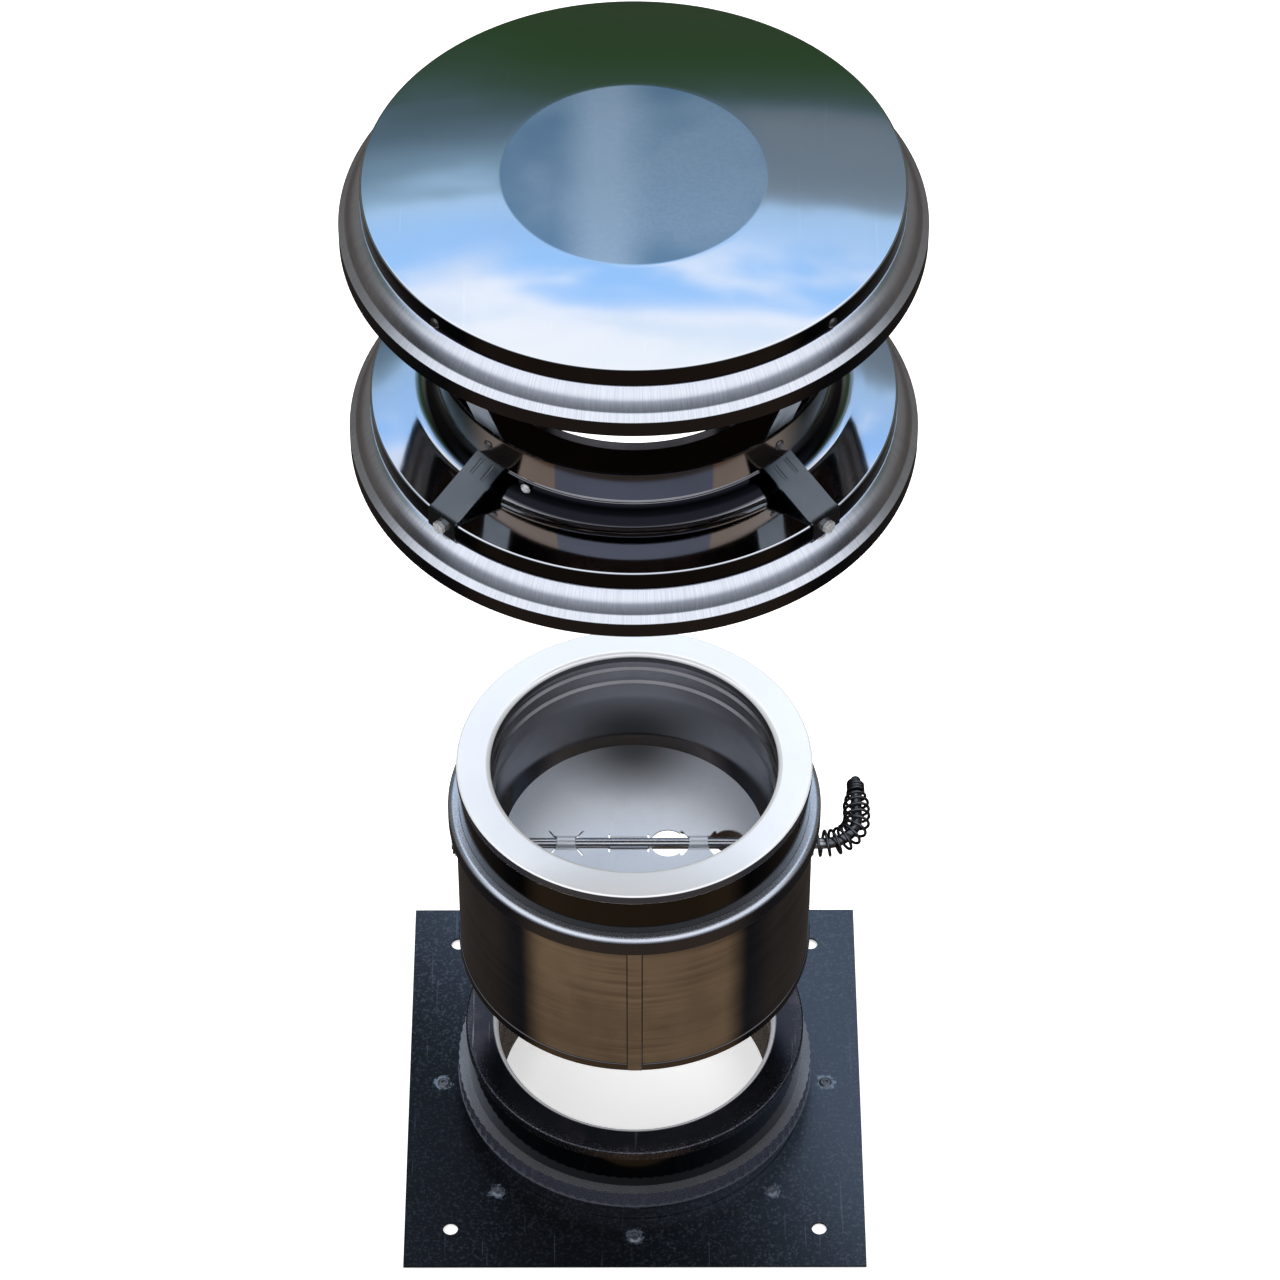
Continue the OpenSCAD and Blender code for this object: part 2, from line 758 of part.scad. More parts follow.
module lower_dish() {
    color(mirror_steel)
    translate([0, 0, dish_z])
    difference() {
        spun(sheet(concat(
            arc([neck_ro + neck_round, dish_rise + neck_round], neck_round, 180, 270, 2 * arc_steps),
            disc_edge()), -sheet_t));
        radial_holes(leg_angles, bolt_z, bolt_hole_r, disc_r - 5, disc_r + 2);
        radial_holes(neck_rivet_angles, neck_rivet_z, rivet_hole_r, neck_ri - 1, neck_ro + neck_round);
    }
}

module lower_rim() {
    color(satin_steel)
    translate([0, 0, dish_z])
    difference() {
        spun(rim_profile());
        radial_holes(leg_angles, bolt_z, bolt_hole_r, disc_r - 5, disc_r);
    }
}

module cowl_inner_pipe() {
    color([0.45, 0.45, 0.47])
    translate([0, 0, cowl_foot + spigot_short])
    difference() {
        cylinder(h = cowl_skirt_h - spigot_short + pipe_above_dish, r = spigot_r, $fn = 180);
        translate([0, 0, -1]) cylinder(h = cowl_skirt_h + pipe_above_dish + 2, r = flue_r, $fn = 180);
    }
}

module cowl_outer_shell() {
    color(dark_steel)
    translate([0, 0, dish_z])
    difference() {
        spun([[shell_ri, -cowl_skirt_h], [shell_ro + hem_out, -cowl_skirt_h],
            [shell_ro + hem_out, hem_h - cowl_skirt_h], [shell_ro, hem_h - cowl_skirt_h],
            [shell_ro, shell_above_dish], [shell_ri, shell_above_dish]]);
        radial_holes(leg_angles, band_rivet_z, rivet_hole_r, spigot_r, leg_in);
        radial_holes(neck_rivet_angles, neck_rivet_z, rivet_hole_r, spigot_r, leg_in);
    }
}

module cowl_top_ring() {
    color(dark_steel)
    translate([0, 0, dish_z]) spun(closing_ring_profile(cowl_ring_above_dish, cowl_ring_turn_up));
}

module cowl_bottom_ring() {
    color(satin_steel)
    translate([0, 0, cowl_foot]) spun(closing_ring_profile(socket_l + recess_gap, ring_turn_up));
}

module cowl_insulation() {
    foot = cowl_foot + socket_l + recess_gap + sheet_t + snug;
    top = dish_z + cowl_ring_above_dish - snug;
    outer_r = shell_ri - rivet_head_h - snug;
    color(wool)
    translate([0, 0, foot])
    difference() {
        cylinder(h = top - foot, r = outer_r, $fn = 180);
        translate([0, 0, -1]) cylinder(h = top - foot + 2, r = spigot_r + snug, $fn = 180);
    }
}

module band_ring() {
    color(mirror_steel)
    translate([0, 0, dish_z])
    difference() {
        translate([0, 0, band_z]) cylinder(h = band_h, r = band_ro, $fn = 180);
        translate([0, 0, band_z - 1]) cylinder(h = band_h + 2, r = band_ri, $fn = 180);
        radial_holes(leg_angles, band_rivet_z, rivet_hole_r, leg_in, band_ro + 1);
    }
}

// One bent strap: hooked over the dish's edge, up inside the band, then out to the cap's wall
module leg(angle) {
    bend_z = band_z - leg_bend_depth;
    path = [[disc_r + snug, -leg_tab_l], [disc_r + snug, snug * 2], [disc_r - 4, snug * 4],
        [leg_in, bend_z], [leg_in, band_z + band_h],
        [cap_tab_x, cap_gap - disc_wall_h - 2], [cap_tab_x, cap_gap - sheet_t - 1]];
    slope = atan2(bend_z, disc_r - 4 - leg_in);
    color(dark_steel)
    translate([0, 0, dish_z]) rotate([0, 0, angle])
    difference() {
        union() {
            translate([0, leg_w / 2, 0]) rotate([90, 0, 0]) linear_extrude(leg_w) polygon(sheet(path, -leg_t));
            for (side = [-1, 1])
                translate([leg_in + 4, side * leg_w / 5, bend_z - 4 * tan(slope) + leg_t]) rotate([0, slope, 0])
                    bar_x(0, leg_w / 2, leg_t * 0.9);
        }
        translate([0, 0, bolt_z]) bar_x(disc_r - 1, disc_r + 2 * leg_t, bolt_hole_r);
        translate([0, 0, band_rivet_z]) bar_x(shell_ri, band_ri + 1, rivet_hole_r);
        translate([0, 0, cap_gap + cap_rivet_z]) bar_x(cap_tab_x - 1, disc_r, rivet_hole_r);
    }
}

module leg_front_left() { leg(leg_angles[0]); }

module leg_front_right() { leg(leg_angles[1]); }

module leg_back_left() { leg(leg_angles[2]); }

module leg_back_right() { leg(leg_angles[3]); }

module leg_bolts() {
    head_x = disc_r + snug + leg_t;
    tip_x = disc_r - 2 * sheet_t - nut_h - 2;
    color(satin_steel)
    translate([0, 0, dish_z + bolt_z])
    at_angles(leg_angles) {
        bar_x(tip_x, head_x + 1, bolt_r);
        translate([head_x, 0, 0]) rotate([0, 90, 0]) cylinder(h = bolt_head_h, d = bolt_head_d, $fn = 6);
    }
}

module leg_nuts() {
    nut_x = disc_r - 2 * sheet_t - snug - nut_h;
    color(satin_steel)
    translate([0, 0, dish_z + bolt_z])
    at_angles(leg_angles)
        difference() {
            translate([nut_x, 0, 0]) rotate([0, 90, 0]) cylinder(h = nut_h, d = bolt_head_d, $fn = 6);
            bar_x(nut_x - 1, disc_r, bolt_hole_r);
        }
}

// A rivet along X through the walls from in_x to out_x, headed outside
module rivet(in_x, out_x) {
    bar_x(in_x - snug, out_x + snug, rivet_r);
    translate([out_x, 0, 0]) rotate([0, 90, 0])
        cylinder(h = rivet_head_h, d1 = rivet_head_d, d2 = rivet_head_d * 0.6, $fn = 32);
    translate([in_x, 0, 0]) rotate([0, -90, 0])
        cylinder(h = rivet_head_h - snug, d = rivet_head_d * 0.8, $fn = 32);
}

module band_rivets() {
    color(satin_steel)
    translate([0, 0, dish_z + band_rivet_z])
    at_angles(leg_angles) rivet(shell_ri - snug / 2, band_ro + snug / 2);
}

module cap_wall_rivets() {
    color(dark_steel)
    translate([0, 0, cap_z + cap_rivet_z])
    at_angles(leg_angles) rivet(cap_tab_x - snug / 2, disc_r + snug / 2);
}

module neck_rivets() {
    color(satin_steel)
    translate([0, 0, dish_z + neck_rivet_z])
    at_angles(neck_rivet_angles) rivet(shell_ri - snug / 2, neck_ro + neck_round / 8);
}

base_plate();
collar_foot_ring();
collar_outer_shell();
collar_crimp_ring();
collar_top_ring();
collar_inner_pipe();
collar_insulation();
plate_rivets();
damper_outer_shell();
damper_flange_ring();
damper_top_ring();
damper_inner_pipe();
damper_bottom_ring();
damper_insulation();
shaft_bush_left();
shaft_bush_right();
flap_blade();
damper_shaft();
handle_spring();
shaft_end_clip();
cowl_inner_pipe();
cowl_outer_shell();
cowl_top_ring();
cowl_bottom_ring();
cowl_insulation();
lower_dish();
lower_rim();
band_ring();
leg_front_left();
leg_front_right();
leg_back_left();
leg_back_right();
cap_disc();
cap_rim();
leg_bolts();
leg_nuts();
band_rivets();
cap_wall_rivets();
neck_rivets();
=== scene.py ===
import json
import math

import bmesh
import bpy
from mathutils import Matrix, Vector


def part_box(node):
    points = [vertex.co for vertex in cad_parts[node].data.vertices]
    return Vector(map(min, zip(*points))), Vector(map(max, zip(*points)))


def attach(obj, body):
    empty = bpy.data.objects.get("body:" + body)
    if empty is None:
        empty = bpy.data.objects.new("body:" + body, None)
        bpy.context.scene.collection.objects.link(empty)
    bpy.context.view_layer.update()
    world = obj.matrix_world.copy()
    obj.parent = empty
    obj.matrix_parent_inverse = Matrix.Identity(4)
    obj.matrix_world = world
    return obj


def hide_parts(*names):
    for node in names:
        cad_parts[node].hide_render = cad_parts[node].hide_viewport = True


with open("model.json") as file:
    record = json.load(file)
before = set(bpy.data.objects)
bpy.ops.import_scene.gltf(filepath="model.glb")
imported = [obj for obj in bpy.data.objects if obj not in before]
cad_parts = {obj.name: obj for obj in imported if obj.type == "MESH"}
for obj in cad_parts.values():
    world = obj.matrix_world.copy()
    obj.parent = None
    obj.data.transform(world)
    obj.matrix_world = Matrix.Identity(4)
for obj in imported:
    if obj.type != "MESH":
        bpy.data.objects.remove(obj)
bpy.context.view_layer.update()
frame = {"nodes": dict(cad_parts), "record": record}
cadNodes = frame["nodes"]
bodies = frame["record"]["behaviour"]["bodies"]
bodyOf = {node: body for body, members in bodies.items() for node in members}
slotOf = {sub["node"]: sub["material_slot"] for sub in frame["record"]["subparts"]}
print("frame loaded,", len(cadNodes), "nodes")


def low(node):
    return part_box(node)[0]


def high(node):
    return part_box(node)[1]


# sizes that every unit shares, in metres
wall = {
    "sheet": 0.001,
    "slip": 0.0004,  # clearance between two units
    "mouthRound": 0.004,
    "mouthSteps": 12,
    "edgeRound": 0.0015,
    "lip": 0.008,
    "socket": 0.040,
    "socketCone": 0.003,
    "stepCone": 0.002,
    "beadHeight": 0.016,
    "facets": 240,  # round a pipe
}
# the cowl's discs, both of one size
disc = {
    "bandAbove": 0.024,  # the band's foot above the lower disc
    "capAbove": 0.179,  # the cap above the lower disc
    "edgeRound": 0.0015,
    "centreR": 0.084,
    "centreEdge": 0.001,
    "domeRise": 0.0055,
    "domeSteps": 24,
}
spigotR = high("cowl_inner_pipe").x
flueR = spigotR - wall["sheet"]
socketR = spigotR + wall["slip"]
ringR = high("damper_top_ring").x
skirtR = ringR - wall["sheet"]
shellR = ringR + wall["slip"] + wall["sheet"]
beadR = high("damper_flange_ring").x
discR = high("cap_disc").x
collarTop = high("collar_top_ring").z
damperTop = high("damper_top_ring").z
dishZ = low("band_ring").z - disc["bandAbove"]
capZ = dishZ + disc["capAbove"]
discWall = capZ - low("cap_disc").z


def arc(cx, cz, radius, start, end, steps=8):
    turn = [math.radians(start + (end - start) * i / steps) for i in range(steps + 1)]
    return [(cx + radius * math.cos(a), cz + radius * math.sin(a)) for a in turn]


# outline of a sheet on the left of a path, or on its right where the thickness is negative
def sheetOutline(path, thickness):
    points = [Vector(p) for p in path]
    normals = []
    for a, b in zip(points, points[1:]):
        along = (b - a).normalized()
        normals.append(Vector((-along.y, along.x)))
    other = []
    for i, point in enumerate(points):
        before = normals[max(i - 1, 0)]
        after = normals[min(i, len(normals) - 1)]
        other.append(point + thickness * (before + after) / (1 + before.dot(after)))
    return [tuple(p) for p in points + other[::-1]]


def addObject(name, data):
    made = bpy.data.objects.new(name, data)
    bpy.context.scene.collection.objects.link(made)
    return made


# how edges are softened, in metres and degrees
soft = {
    "bevel": 0.0002,
    "segments": 2,
    "crease": 32,
    "weight": 60,
    "merge": 1e-6,
    "flat": 0.5,  # faces that meet at less than this become one
}


def finishMesh(node, name, shape, material, bevel, crease=soft["crease"]):
    mesh = bpy.data.meshes.new(name)
    shape.to_mesh(mesh)
    shape.free()
    mesh.shade_smooth()
    mesh.set_sharp_from_angle(angle=math.radians(crease))
    piece = addObject(name, mesh)
    rounding = piece.modifiers.new("edges", "BEVEL")
    rounding.width = bevel
    rounding.segments = soft["segments"]
    rounding.limit_method = "ANGLE"
    rounding.angle_limit = math.radians(crease)
    even = piece.modifiers.new("normals", "WEIGHTED_NORMAL")
    even.weight = soft["weight"]
    mesh.materials.append(material)
    body, slot = bodyOf[node], slotOf[node]
    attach(piece, body)
    return piece


# an outline in x and z, turned about the flue's axis
def spin(outline, closed=True):
    shape = bmesh.new()
    corners = [shape.verts.new((x, 0, z)) for x, z in outline]
    pairs = list(zip(corners, corners[1:]))
    if closed:
        pairs.append((corners[-1], corners[0]))
    sides = [shape.edges.new(pair) for pair in pairs]
    bmesh.ops.spin(shape, geom=corners + sides, cent=(0, 0, 0), axis=(0, 0, 1),
                   angle=2 * math.pi, steps=wall["facets"], use_merge=True)
    bmesh.ops.remove_doubles(shape, verts=shape.verts, dist=soft["merge"])
    bmesh.ops.recalc_face_normals(shape, faces=shape.faces)
    return shape


# a turned sheet that stands for a CAD node, to the left of its path or to the right
def sheetPiece(node, name, path, material, thickness=-wall["sheet"], closed=True):
    shape = spin(sheetOutline(path, thickness), closed)
    piece = finishMesh(node, name, shape, material, soft["bevel"])
    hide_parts(node)


# a merged, softly edged copy of a CAD node that stands for it
def dressNode(node, name, material, bevel, crease=soft["crease"]):
    shape = bmesh.new()
    shape.from_mesh(cadNodes[node].data)
    bmesh.ops.remove_doubles(shape, verts=shape.verts, dist=soft["merge"])
    bmesh.ops.dissolve_limit(shape, angle_limit=math.radians(soft["flat"]),
                             verts=shape.verts, edges=shape.edges)
    piece = finishMesh(node, name, shape, material, bevel, crease)
    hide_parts(node)


# a number or a colour is set on a socket itself, and another node's output is linked to it
def feed(tree, socket, value):
    if isinstance(value, (int, float)):
        socket.default_value = value
    elif isinstance(value, tuple):
        socket.default_value = (*value, 1)
    else:
        tree.links.new(value, socket)


# a group that takes a place and some numbers, and gives numbers
def newGroup(name, numbers, results):
    group = bpy.data.node_groups.new(name, "ShaderNodeTree")
    face = group.interface
    face.new_socket(name="Vector", in_out="INPUT", socket_type="NodeSocketVector")
    for label, value in numbers.items():
        socket = face.new_socket(name=label, in_out="INPUT", socket_type="NodeSocketFloat")
        socket.default_value = value
    for label in results:
        face.new_socket(name=label, in_out="OUTPUT", socket_type="NodeSocketFloat")
    source, sink = group.nodes.new("NodeGroupInput"), group.nodes.new("NodeGroupOutput")
    return group, source.outputs, sink.inputs


def mathNode(tree, operation, *values):
    node = tree.nodes.new("ShaderNodeMath")
    node.operation = operation
    for socket, value in zip(node.inputs, values):
        feed(tree, socket, value)
    return node.outputs[0]


def multiply(tree, first, second):
    return mathNode(tree, "MULTIPLY", first, second)


def lengthNode(tree, x, y):
    return mathNode(tree, "SQRT", mathNode(tree, "ADD", multiply(tree, x, x), multiply(tree, y, y)))


def rampNode(tree, value, fromLow, fromHigh, toLow=0.0, toHigh=1.0, smooth=True):
    node = tree.nodes.new("ShaderNodeMapRange")
    node.interpolation_type = "SMOOTHSTEP" if smooth else "LINEAR"
    for key, amount in (("Value", value), ("From Min", fromLow), ("From Max", fromHigh),
                        ("To Min", toLow), ("To Max", toHigh)):
        feed(tree, node.inputs[key], amount)
    return node.outputs["Result"]


def between(tree, share, start, end):
    return rampNode(tree, share, 0, 1, start, end, False)


# a noise is given as its scale, detail and roughness
def noiseNode(tree, vector, scale, detail, roughness):
    node = tree.nodes.new("ShaderNodeTexNoise")
    for key, amount in (("Vector", vector), ("Scale", scale), ("Detail", detail),
                        ("Roughness", roughness)):
        feed(tree, node.inputs[key], amount)
    return node.outputs["Fac"]


# patches where a noise lies between two levels
def patchNode(tree, place, noise, edge):
    return rampNode(tree, noiseNode(tree, place, *noise), *edge)


def splitNode(tree, vector):
    node = tree.nodes.new("ShaderNodeSeparateXYZ")
    tree.links.new(vector, node.inputs[0])
    return node.outputs


def joinNode(tree, *parts):
    node = tree.nodes.new("ShaderNodeCombineXYZ")
    for socket, part in zip(node.inputs, parts):
        feed(tree, socket, part)
    return node.outputs[0]


def stretchNode(tree, vector, scale, turn=0.0):
    node = tree.nodes.new("ShaderNodeMapping")
    node.inputs["Rotation"].default_value = (0, 0, math.radians(turn))
    node.inputs["Scale"].default_value = scale
    tree.links.new(vector, node.inputs["Vector"])
    return node.outputs[0]


# streaks that run outwards from the flue's axis, or round it where Around is 1
brush = {"rise": 0.9, "rings": 60, "noise": (5.0, 0.65), "spread": 0.25}


def makeBrushGroup():
    numbers = {"Count": 60.0, "Around": 0.0, "Contrast": 0.5}
    group, source, sink = newGroup("brushedLines", numbers, ["Lines"])
    x, y, z = splitNode(group, source["Vector"])
    radius = lengthNode(group, x, y)
    outwards = joinNode(group, mathNode(group, "DIVIDE", x, radius),
                        mathNode(group, "DIVIDE", y, radius),
                        multiply(group, mathNode(group, "ADD", radius, z), brush["rise"]))
    rings = joinNode(group, multiply(group, radius, brush["rings"]),
                     multiply(group, z, brush["rings"]))
    pick = group.nodes.new("ShaderNodeMix")
    pick.data_type = "VECTOR"
    group.links.new(source["Around"], pick.inputs["Factor"])
    group.links.new(outwards, pick.inputs[4])
    group.links.new(rings, pick.inputs[5])
    lines = noiseNode(group, pick.outputs[1], source["Count"], *brush["noise"])
    edges = [mathNode(group, "MULTIPLY_ADD", source["Contrast"], side * brush["spread"], 0.5)
             for side in (-1, 1)]
    group.links.new(rampNode(group, lines, *edges), sink["Lines"])
    return group


# cloudy patches and fine specks of handling, from 0 to 1
handling = {
    "cloudNoise": (6.0, 0.62),
    "cloudEdge": (0.42, 0.68),
    "speckScale": 55,  # times the clouds' own
    "speckNoise": (2.0, 0.7),
    "speckEdge": (0.66, 0.74),
}


def makeSmudgeGroup():
    numbers = {"Scale": 12.0, "Amount": 0.5}
    group, source, sink = newGroup("handling", numbers, ["Smudges", "Specks"])
    vector, scale, amount = source[:3]
    cloud = noiseNode(group, vector, scale, *handling["cloudNoise"])
    fineScale = multiply(group, scale, handling["speckScale"])
    fine = noiseNode(group, vector, fineScale, *handling["speckNoise"])
    for key, noise, edge in (("Smudges", cloud, "cloudEdge"), ("Specks", fine, "speckEdge")):
        shown = rampNode(group, noise, *handling[edge])
        group.links.new(multiply(group, shown, amount), sink[key])
    return group


# fine straight scratches in a few directions
scratching = {
    "angles": (17, 71, 128),
    "stretch": (1.0, 0.035, 1.0),
    "fineness": 12,
    "noise": (1.0, 0.5),
    "lineEdge": (0.70, 0.78),
    "patchEdge": (0.5, 0.6),
}


def makeScratchGroup():
    group, source, sink = newGroup("scratches", {"Scale": 30.0, "Amount": 0.5}, ["Scratches"])
    vector, scale, amount = source[:3]
    total = None
    for angle in scratching["angles"]:
        turned = stretchNode(group, vector, scratching["stretch"], angle)
        fineScale = multiply(group, scale, scratching["fineness"])
        fine = noiseNode(group, turned, fineScale, *scratching["noise"])
        where = noiseNode(group, turned, scale, *scratching["noise"])
        line = multiply(group, rampNode(group, fine, *scratching["lineEdge"]),
                        rampNode(group, where, *scratching["patchEdge"]))
        total = line if total is None else mathNode(group, "MAXIMUM", total, line)
    group.links.new(multiply(group, total, amount), sink["Scratches"])
    return group


brushGroup = makeBrushGroup()
smudgeGroup = makeSmudgeGroup()
scratchGroup = makeScratchGroup()


def scaled(color, factor):
    return tuple(min(1, c * factor) for c in color)


def startMaterial(name, color, metallic, roughness):
    material = bpy.data.materials.new(name)
    material.use_nodes = True
    tree = material.node_tree
    shader = tree.nodes["Principled BSDF"]
    shader.inputs["Base Color"].default_value = (*color, 1)
    shader.inputs["Metallic"].default_value = metallic
    shader.inputs["Roughness"].default_value = roughness
    place = tree.nodes.new("ShaderNodeTexCoord").outputs["Object"]
    return material, tree, place


def endMaterial(material, shown, finish, height, strength, distance):
    tree = material.node_tree
    shader = tree.nodes["Principled BSDF"]
    feed(tree, shader.inputs["Base Color"], shown)
    feed(tree, shader.inputs["Roughness"], finish)
    bump = tree.nodes.new("ShaderNodeBump")
    bump.inputs["Strength"].default_value = strength
    bump.inputs["Distance"].default_value = distance
    tree.links.new(height, bump.inputs["Height"])
    tree.links.new(bump.outputs[0], shader.inputs["Normal"])
    return material


def groupNode(tree, group, place, *numbers):
    node = tree.nodes.new("ShaderNodeGroup")
    node.node_tree = group
    for socket, value in zip(node.inputs, (place, *numbers)):
        feed(tree, socket, value)
    return node.outputs


# inputs 6 and 7 of this node are its colours
def mixColors(tree, factor, first, second):
    node = tree.nodes.new("ShaderNodeMix")
    node.data_type = "RGBA"
    feed(tree, node.inputs["Factor"], factor)
    feed(tree, node.inputs[6], first)
    feed(tree, node.inputs[7], second)
    return node.outputs[2]


# distance from the flue's axis
def radiusNode(tree, place):
    return lengthNode(tree, *splitNode(tree, place)[:2])


# how far a face looks up, from -1 to 1
def lookingUp(tree):
    return splitNode(tree, tree.nodes.new("ShaderNodeNewGeometry").outputs["Normal"])[2]


# painted reflection and shade: tones that the sheets would take from the ground, painted into their
# colour because the world doesn't give them
paintedTones = {
    "coolness": (0.90, 0.92, 1.15),
    "edgeLine": 0.0002,
    "edgeLevel": (0.15, 0.45),
    "under": (-0.5, -0.3, 1.0, 0.0),
}


# painted reflection: a colour that goes dark where the sheet stands upright and mirrors only the
# ground
def paintUprightShade(tree, place, color, shown, darkness, fromLevel, toLevel, paintedGlintR=None):
    steep = mathNode(tree, "ABSOLUTE", lookingUp(tree))
    level = rampNode(tree, steep, fromLevel, toLevel)
    # painted highlight: a thin bright ring at the given radius, on sloping faces
    if paintedGlintR:
        radius = radiusNode(tree, place)
        atEdge = rampNode(tree, radius, paintedGlintR - paintedTones["edgeLine"], paintedGlintR)
        paintedLight = multiply(tree, atEdge, rampNode(tree, steep, *paintedTones["edgeLevel"]))
        level = mathNode(tree, "MAXIMUM", level, paintedLight)
    shade = tuple(c * darkness * cool for c, cool in zip(color, paintedTones["coolness"]))
    return mixColors(tree, level, shade, shown)


# painted shade: a colour of its own for faces that look down
def paintUndersideShade(tree, shown, under):
    return mixColors(tree, rampNode(tree, lookingUp(tree), *paintedTones["under"]), shown, under)


# long level streaks, as left by the rollers
rolling = {
    "stretch": (5.0, 5.0, 150.0),
    "noise": (1.4, 5.0, 0.62),
    "edge": (0.36, 0.66),
    "patchNoise": (16.0, 2.0, 0.5),
    "patchEdge": (0.38, 0.62, 0.15, 0.75),
}


def levelStreaks(tree, place, first, second):
    stretched = stretchNode(tree, place, rolling["stretch"])
    bands = patchNode(tree, stretched, rolling["noise"], rolling["edge"])
    where = patchNode(tree, place, rolling["patchNoise"], rolling["patchEdge"])
    return mixColors(tree, multiply(tree, bands, where), first, second)


# the satin middle of the cap's disc, stained but for one clear line across it
satin = {
    "blur": 0.001,
    "roughness": 0.12,
    "lineX": -0.018,
    "lineEdge": (0.004, 0.035),
    "stainNoise": (7.0, 3.0, 0.5),
    "stainEdge": (0.40, 0.60, 0.40, 0.95),
    "stainColor": (0.32, 0.46, 0.57),
    "grainNoise": (520.0, 2.0, 0.6),
    "grainEdge": (0.35, 0.65, 0.0, 0.22),
    "grainOnLine": 0.4,
    "grainColor": (0.45, 0.51, 0.56),
}


def addSatin(tree, place, shown, finish, radius):
    centre = rampNode(tree, radiusNode(tree, place), radius - satin["blur"],
                      radius + satin["blur"], 1.0, 0.0)
    finish = mathNode(tree, "MULTIPLY_ADD", centre, satin["roughness"], finish)
    fromLine = mathNode(tree, "SUBTRACT", splitNode(tree, place)[0], satin["lineX"])
    offLine = rampNode(tree, mathNode(tree, "ABSOLUTE", fromLine), *satin["lineEdge"])
    stain = patchNode(tree, place, satin["stainNoise"], satin["stainEdge"])
    stain = multiply(tree, centre, multiply(tree, stain, offLine))
    shown = mixColors(tree, stain, shown, satin["stainColor"])
    grain = patchNode(tree, place, satin["grainNoise"], satin["grainEdge"])
    onLine = between(tree, offLine, satin["grainOnLine"], 1.0)
    grain = multiply(tree, centre, multiply(tree, grain, onLine))
    return mixColors(tree, grain, shown, satin["grainColor"]), finish


# polished stainless steel, with slow waves in the sheet
mirror = {
    "smudges": (9.0, 0.5),
    "scratches": (26.0, 0.3),
    "scratchShine": 1.12,
    "smudgeFactor": 1.8,
    "smudgeExtra": 0.01,
    "waveNoise": (1.0, 0.3),
    # where the painted shade on a skirt starts and how dark it is
    "skirtEdge": (-0.012, 0.004),
    "skirtPaintedShade": 0.08,
    "flankBlur": 0.001,
}


def makeMirror(name, color, soiled, roughness, wave=0.0006, waveScale=5.0, metallic=1.0,
               streak=None, paintedShadeAbove=None, paintedFlanks=None, satinR=None, uprightPaintedShade=None, under=None):
    material, tree, place = startMaterial(name, color, metallic, roughness)
    smudges = groupNode(tree, smudgeGroup, place, *mirror["smudges"])["Smudges"]
    scratches = groupNode(tree, scratchGroup, place, *mirror["scratches"])["Scratches"]
    shown = mixColors(tree, smudges, color, soiled)
    shown = mixColors(tree, scratches, shown, scaled(color, mirror["scratchShine"]))
    dullest = roughness * mirror["smudgeFactor"] + mirror["smudgeExtra"]
    finish = between(tree, smudges, roughness, dullest)
    if streak:
        shown = levelStreaks(tree, place, shown, streak)
    # painted shade: almost black above the given height
    if paintedShadeAbove:
        below, above = mirror["skirtEdge"]
        raised = rampNode(tree, splitNode(tree, place)[2], paintedShadeAbove + below, paintedShadeAbove + above)
        shown = mixColors(tree, raised, shown, scaled(color, mirror["skirtPaintedShade"]))
    # painted reflection: a tint on the flanks, beyond a given distance to either side
    if paintedFlanks:
        halfWidth, paintedFlankColor = paintedFlanks
        aside = mathNode(tree, "ABSOLUTE", splitNode(tree, place)[0])
        off = rampNode(tree, aside, halfWidth - mirror["flankBlur"],
                       halfWidth + mirror["flankBlur"])
        shown = mixColors(tree, off, shown, paintedFlankColor)
    if satinR:
        shown, finish = addSatin(tree, place, shown, finish, satinR)
    if uprightPaintedShade:
        shown = paintUprightShade(tree, place, color, shown, *uprightPaintedShade)
    # painted shade on faces that look down
    if under:
        shown = paintUndersideShade(tree, shown, under)
    waves = noiseNode(tree, place, waveScale, *mirror["waveNoise"])
    return endMaterial(material, shown, finish, waves, 1.0, wave)


# stainless steel brushed in short lines
brushed = {
    "lineContrast": 0.9,
    "broadContrast": 0.8,
    "broadCount": 0.12,  # times the fine lines' own
    "broadShare": 0.2,
    "smudges": (16.0, 0.5),
    "smudgeExtra": 0.08,
    "bump": (0.6, 0.00002),
    "shadeBlur": 0.008,
    "shade": 0.18,
}


def makeBrushed(name, color, lineColor, roughness, count, around=0.0, uprightPaintedShade=None, paintedShadePast=None):
    material, tree, place = startMaterial(name, color, 1.0, roughness)
    lines = groupNode(tree, brushGroup, place, count, around, brushed["lineContrast"])[0]
    broad = groupNode(tree, brushGroup, place, count * brushed["broadCount"], around,
                      brushed["broadContrast"])[0]
    smudges = groupNode(tree, smudgeGroup, place, *brushed["smudges"])["Smudges"]
    mixed = mathNode(tree, "MULTIPLY_ADD", lines, 1 - brushed["broadShare"],
                     multiply(tree, broad, brushed["broadShare"]))
    shown = mixColors(tree, mixed, lineColor, color)
    # painted shade: darker past a given x, where the handle lies inside the spring
    if paintedShadePast:
        past = rampNode(tree, splitNode(tree, place)[0], paintedShadePast, paintedShadePast + brushed["shadeBlur"])
        shown = mixColors(tree, past, shown, scaled(color, brushed["shade"]))
    if uprightPaintedShade:
        shown = paintUprightShade(tree, place, color, shown, *uprightPaintedShade)
    finish = between(tree, smudges, roughness, roughness + brushed["smudgeExtra"])
    return endMaterial(material, shown, finish, mixed, *brushed["bump"])


# hot-dip galvanised steel with fine pale flecks
zinc = {
    "metallic": 0.85,
    "fleckNoise": (430, 3.0, 0.72),
    "fleckEdge": (0.50, 0.66),
    "fleckPatches": (0.30, 0.62, 0.30, 1.0),
    "fleckShare": 0.5,
    "fleckExtra": 0.2,
    "patchNoise": (6, 4.0, 0.6),
    "patchEdge": (0.35, 0.7),
    "patchShine": 1.5,
    "scratches": (30.0, 0.3),
    "bump": (0.5, 0.00004),
}
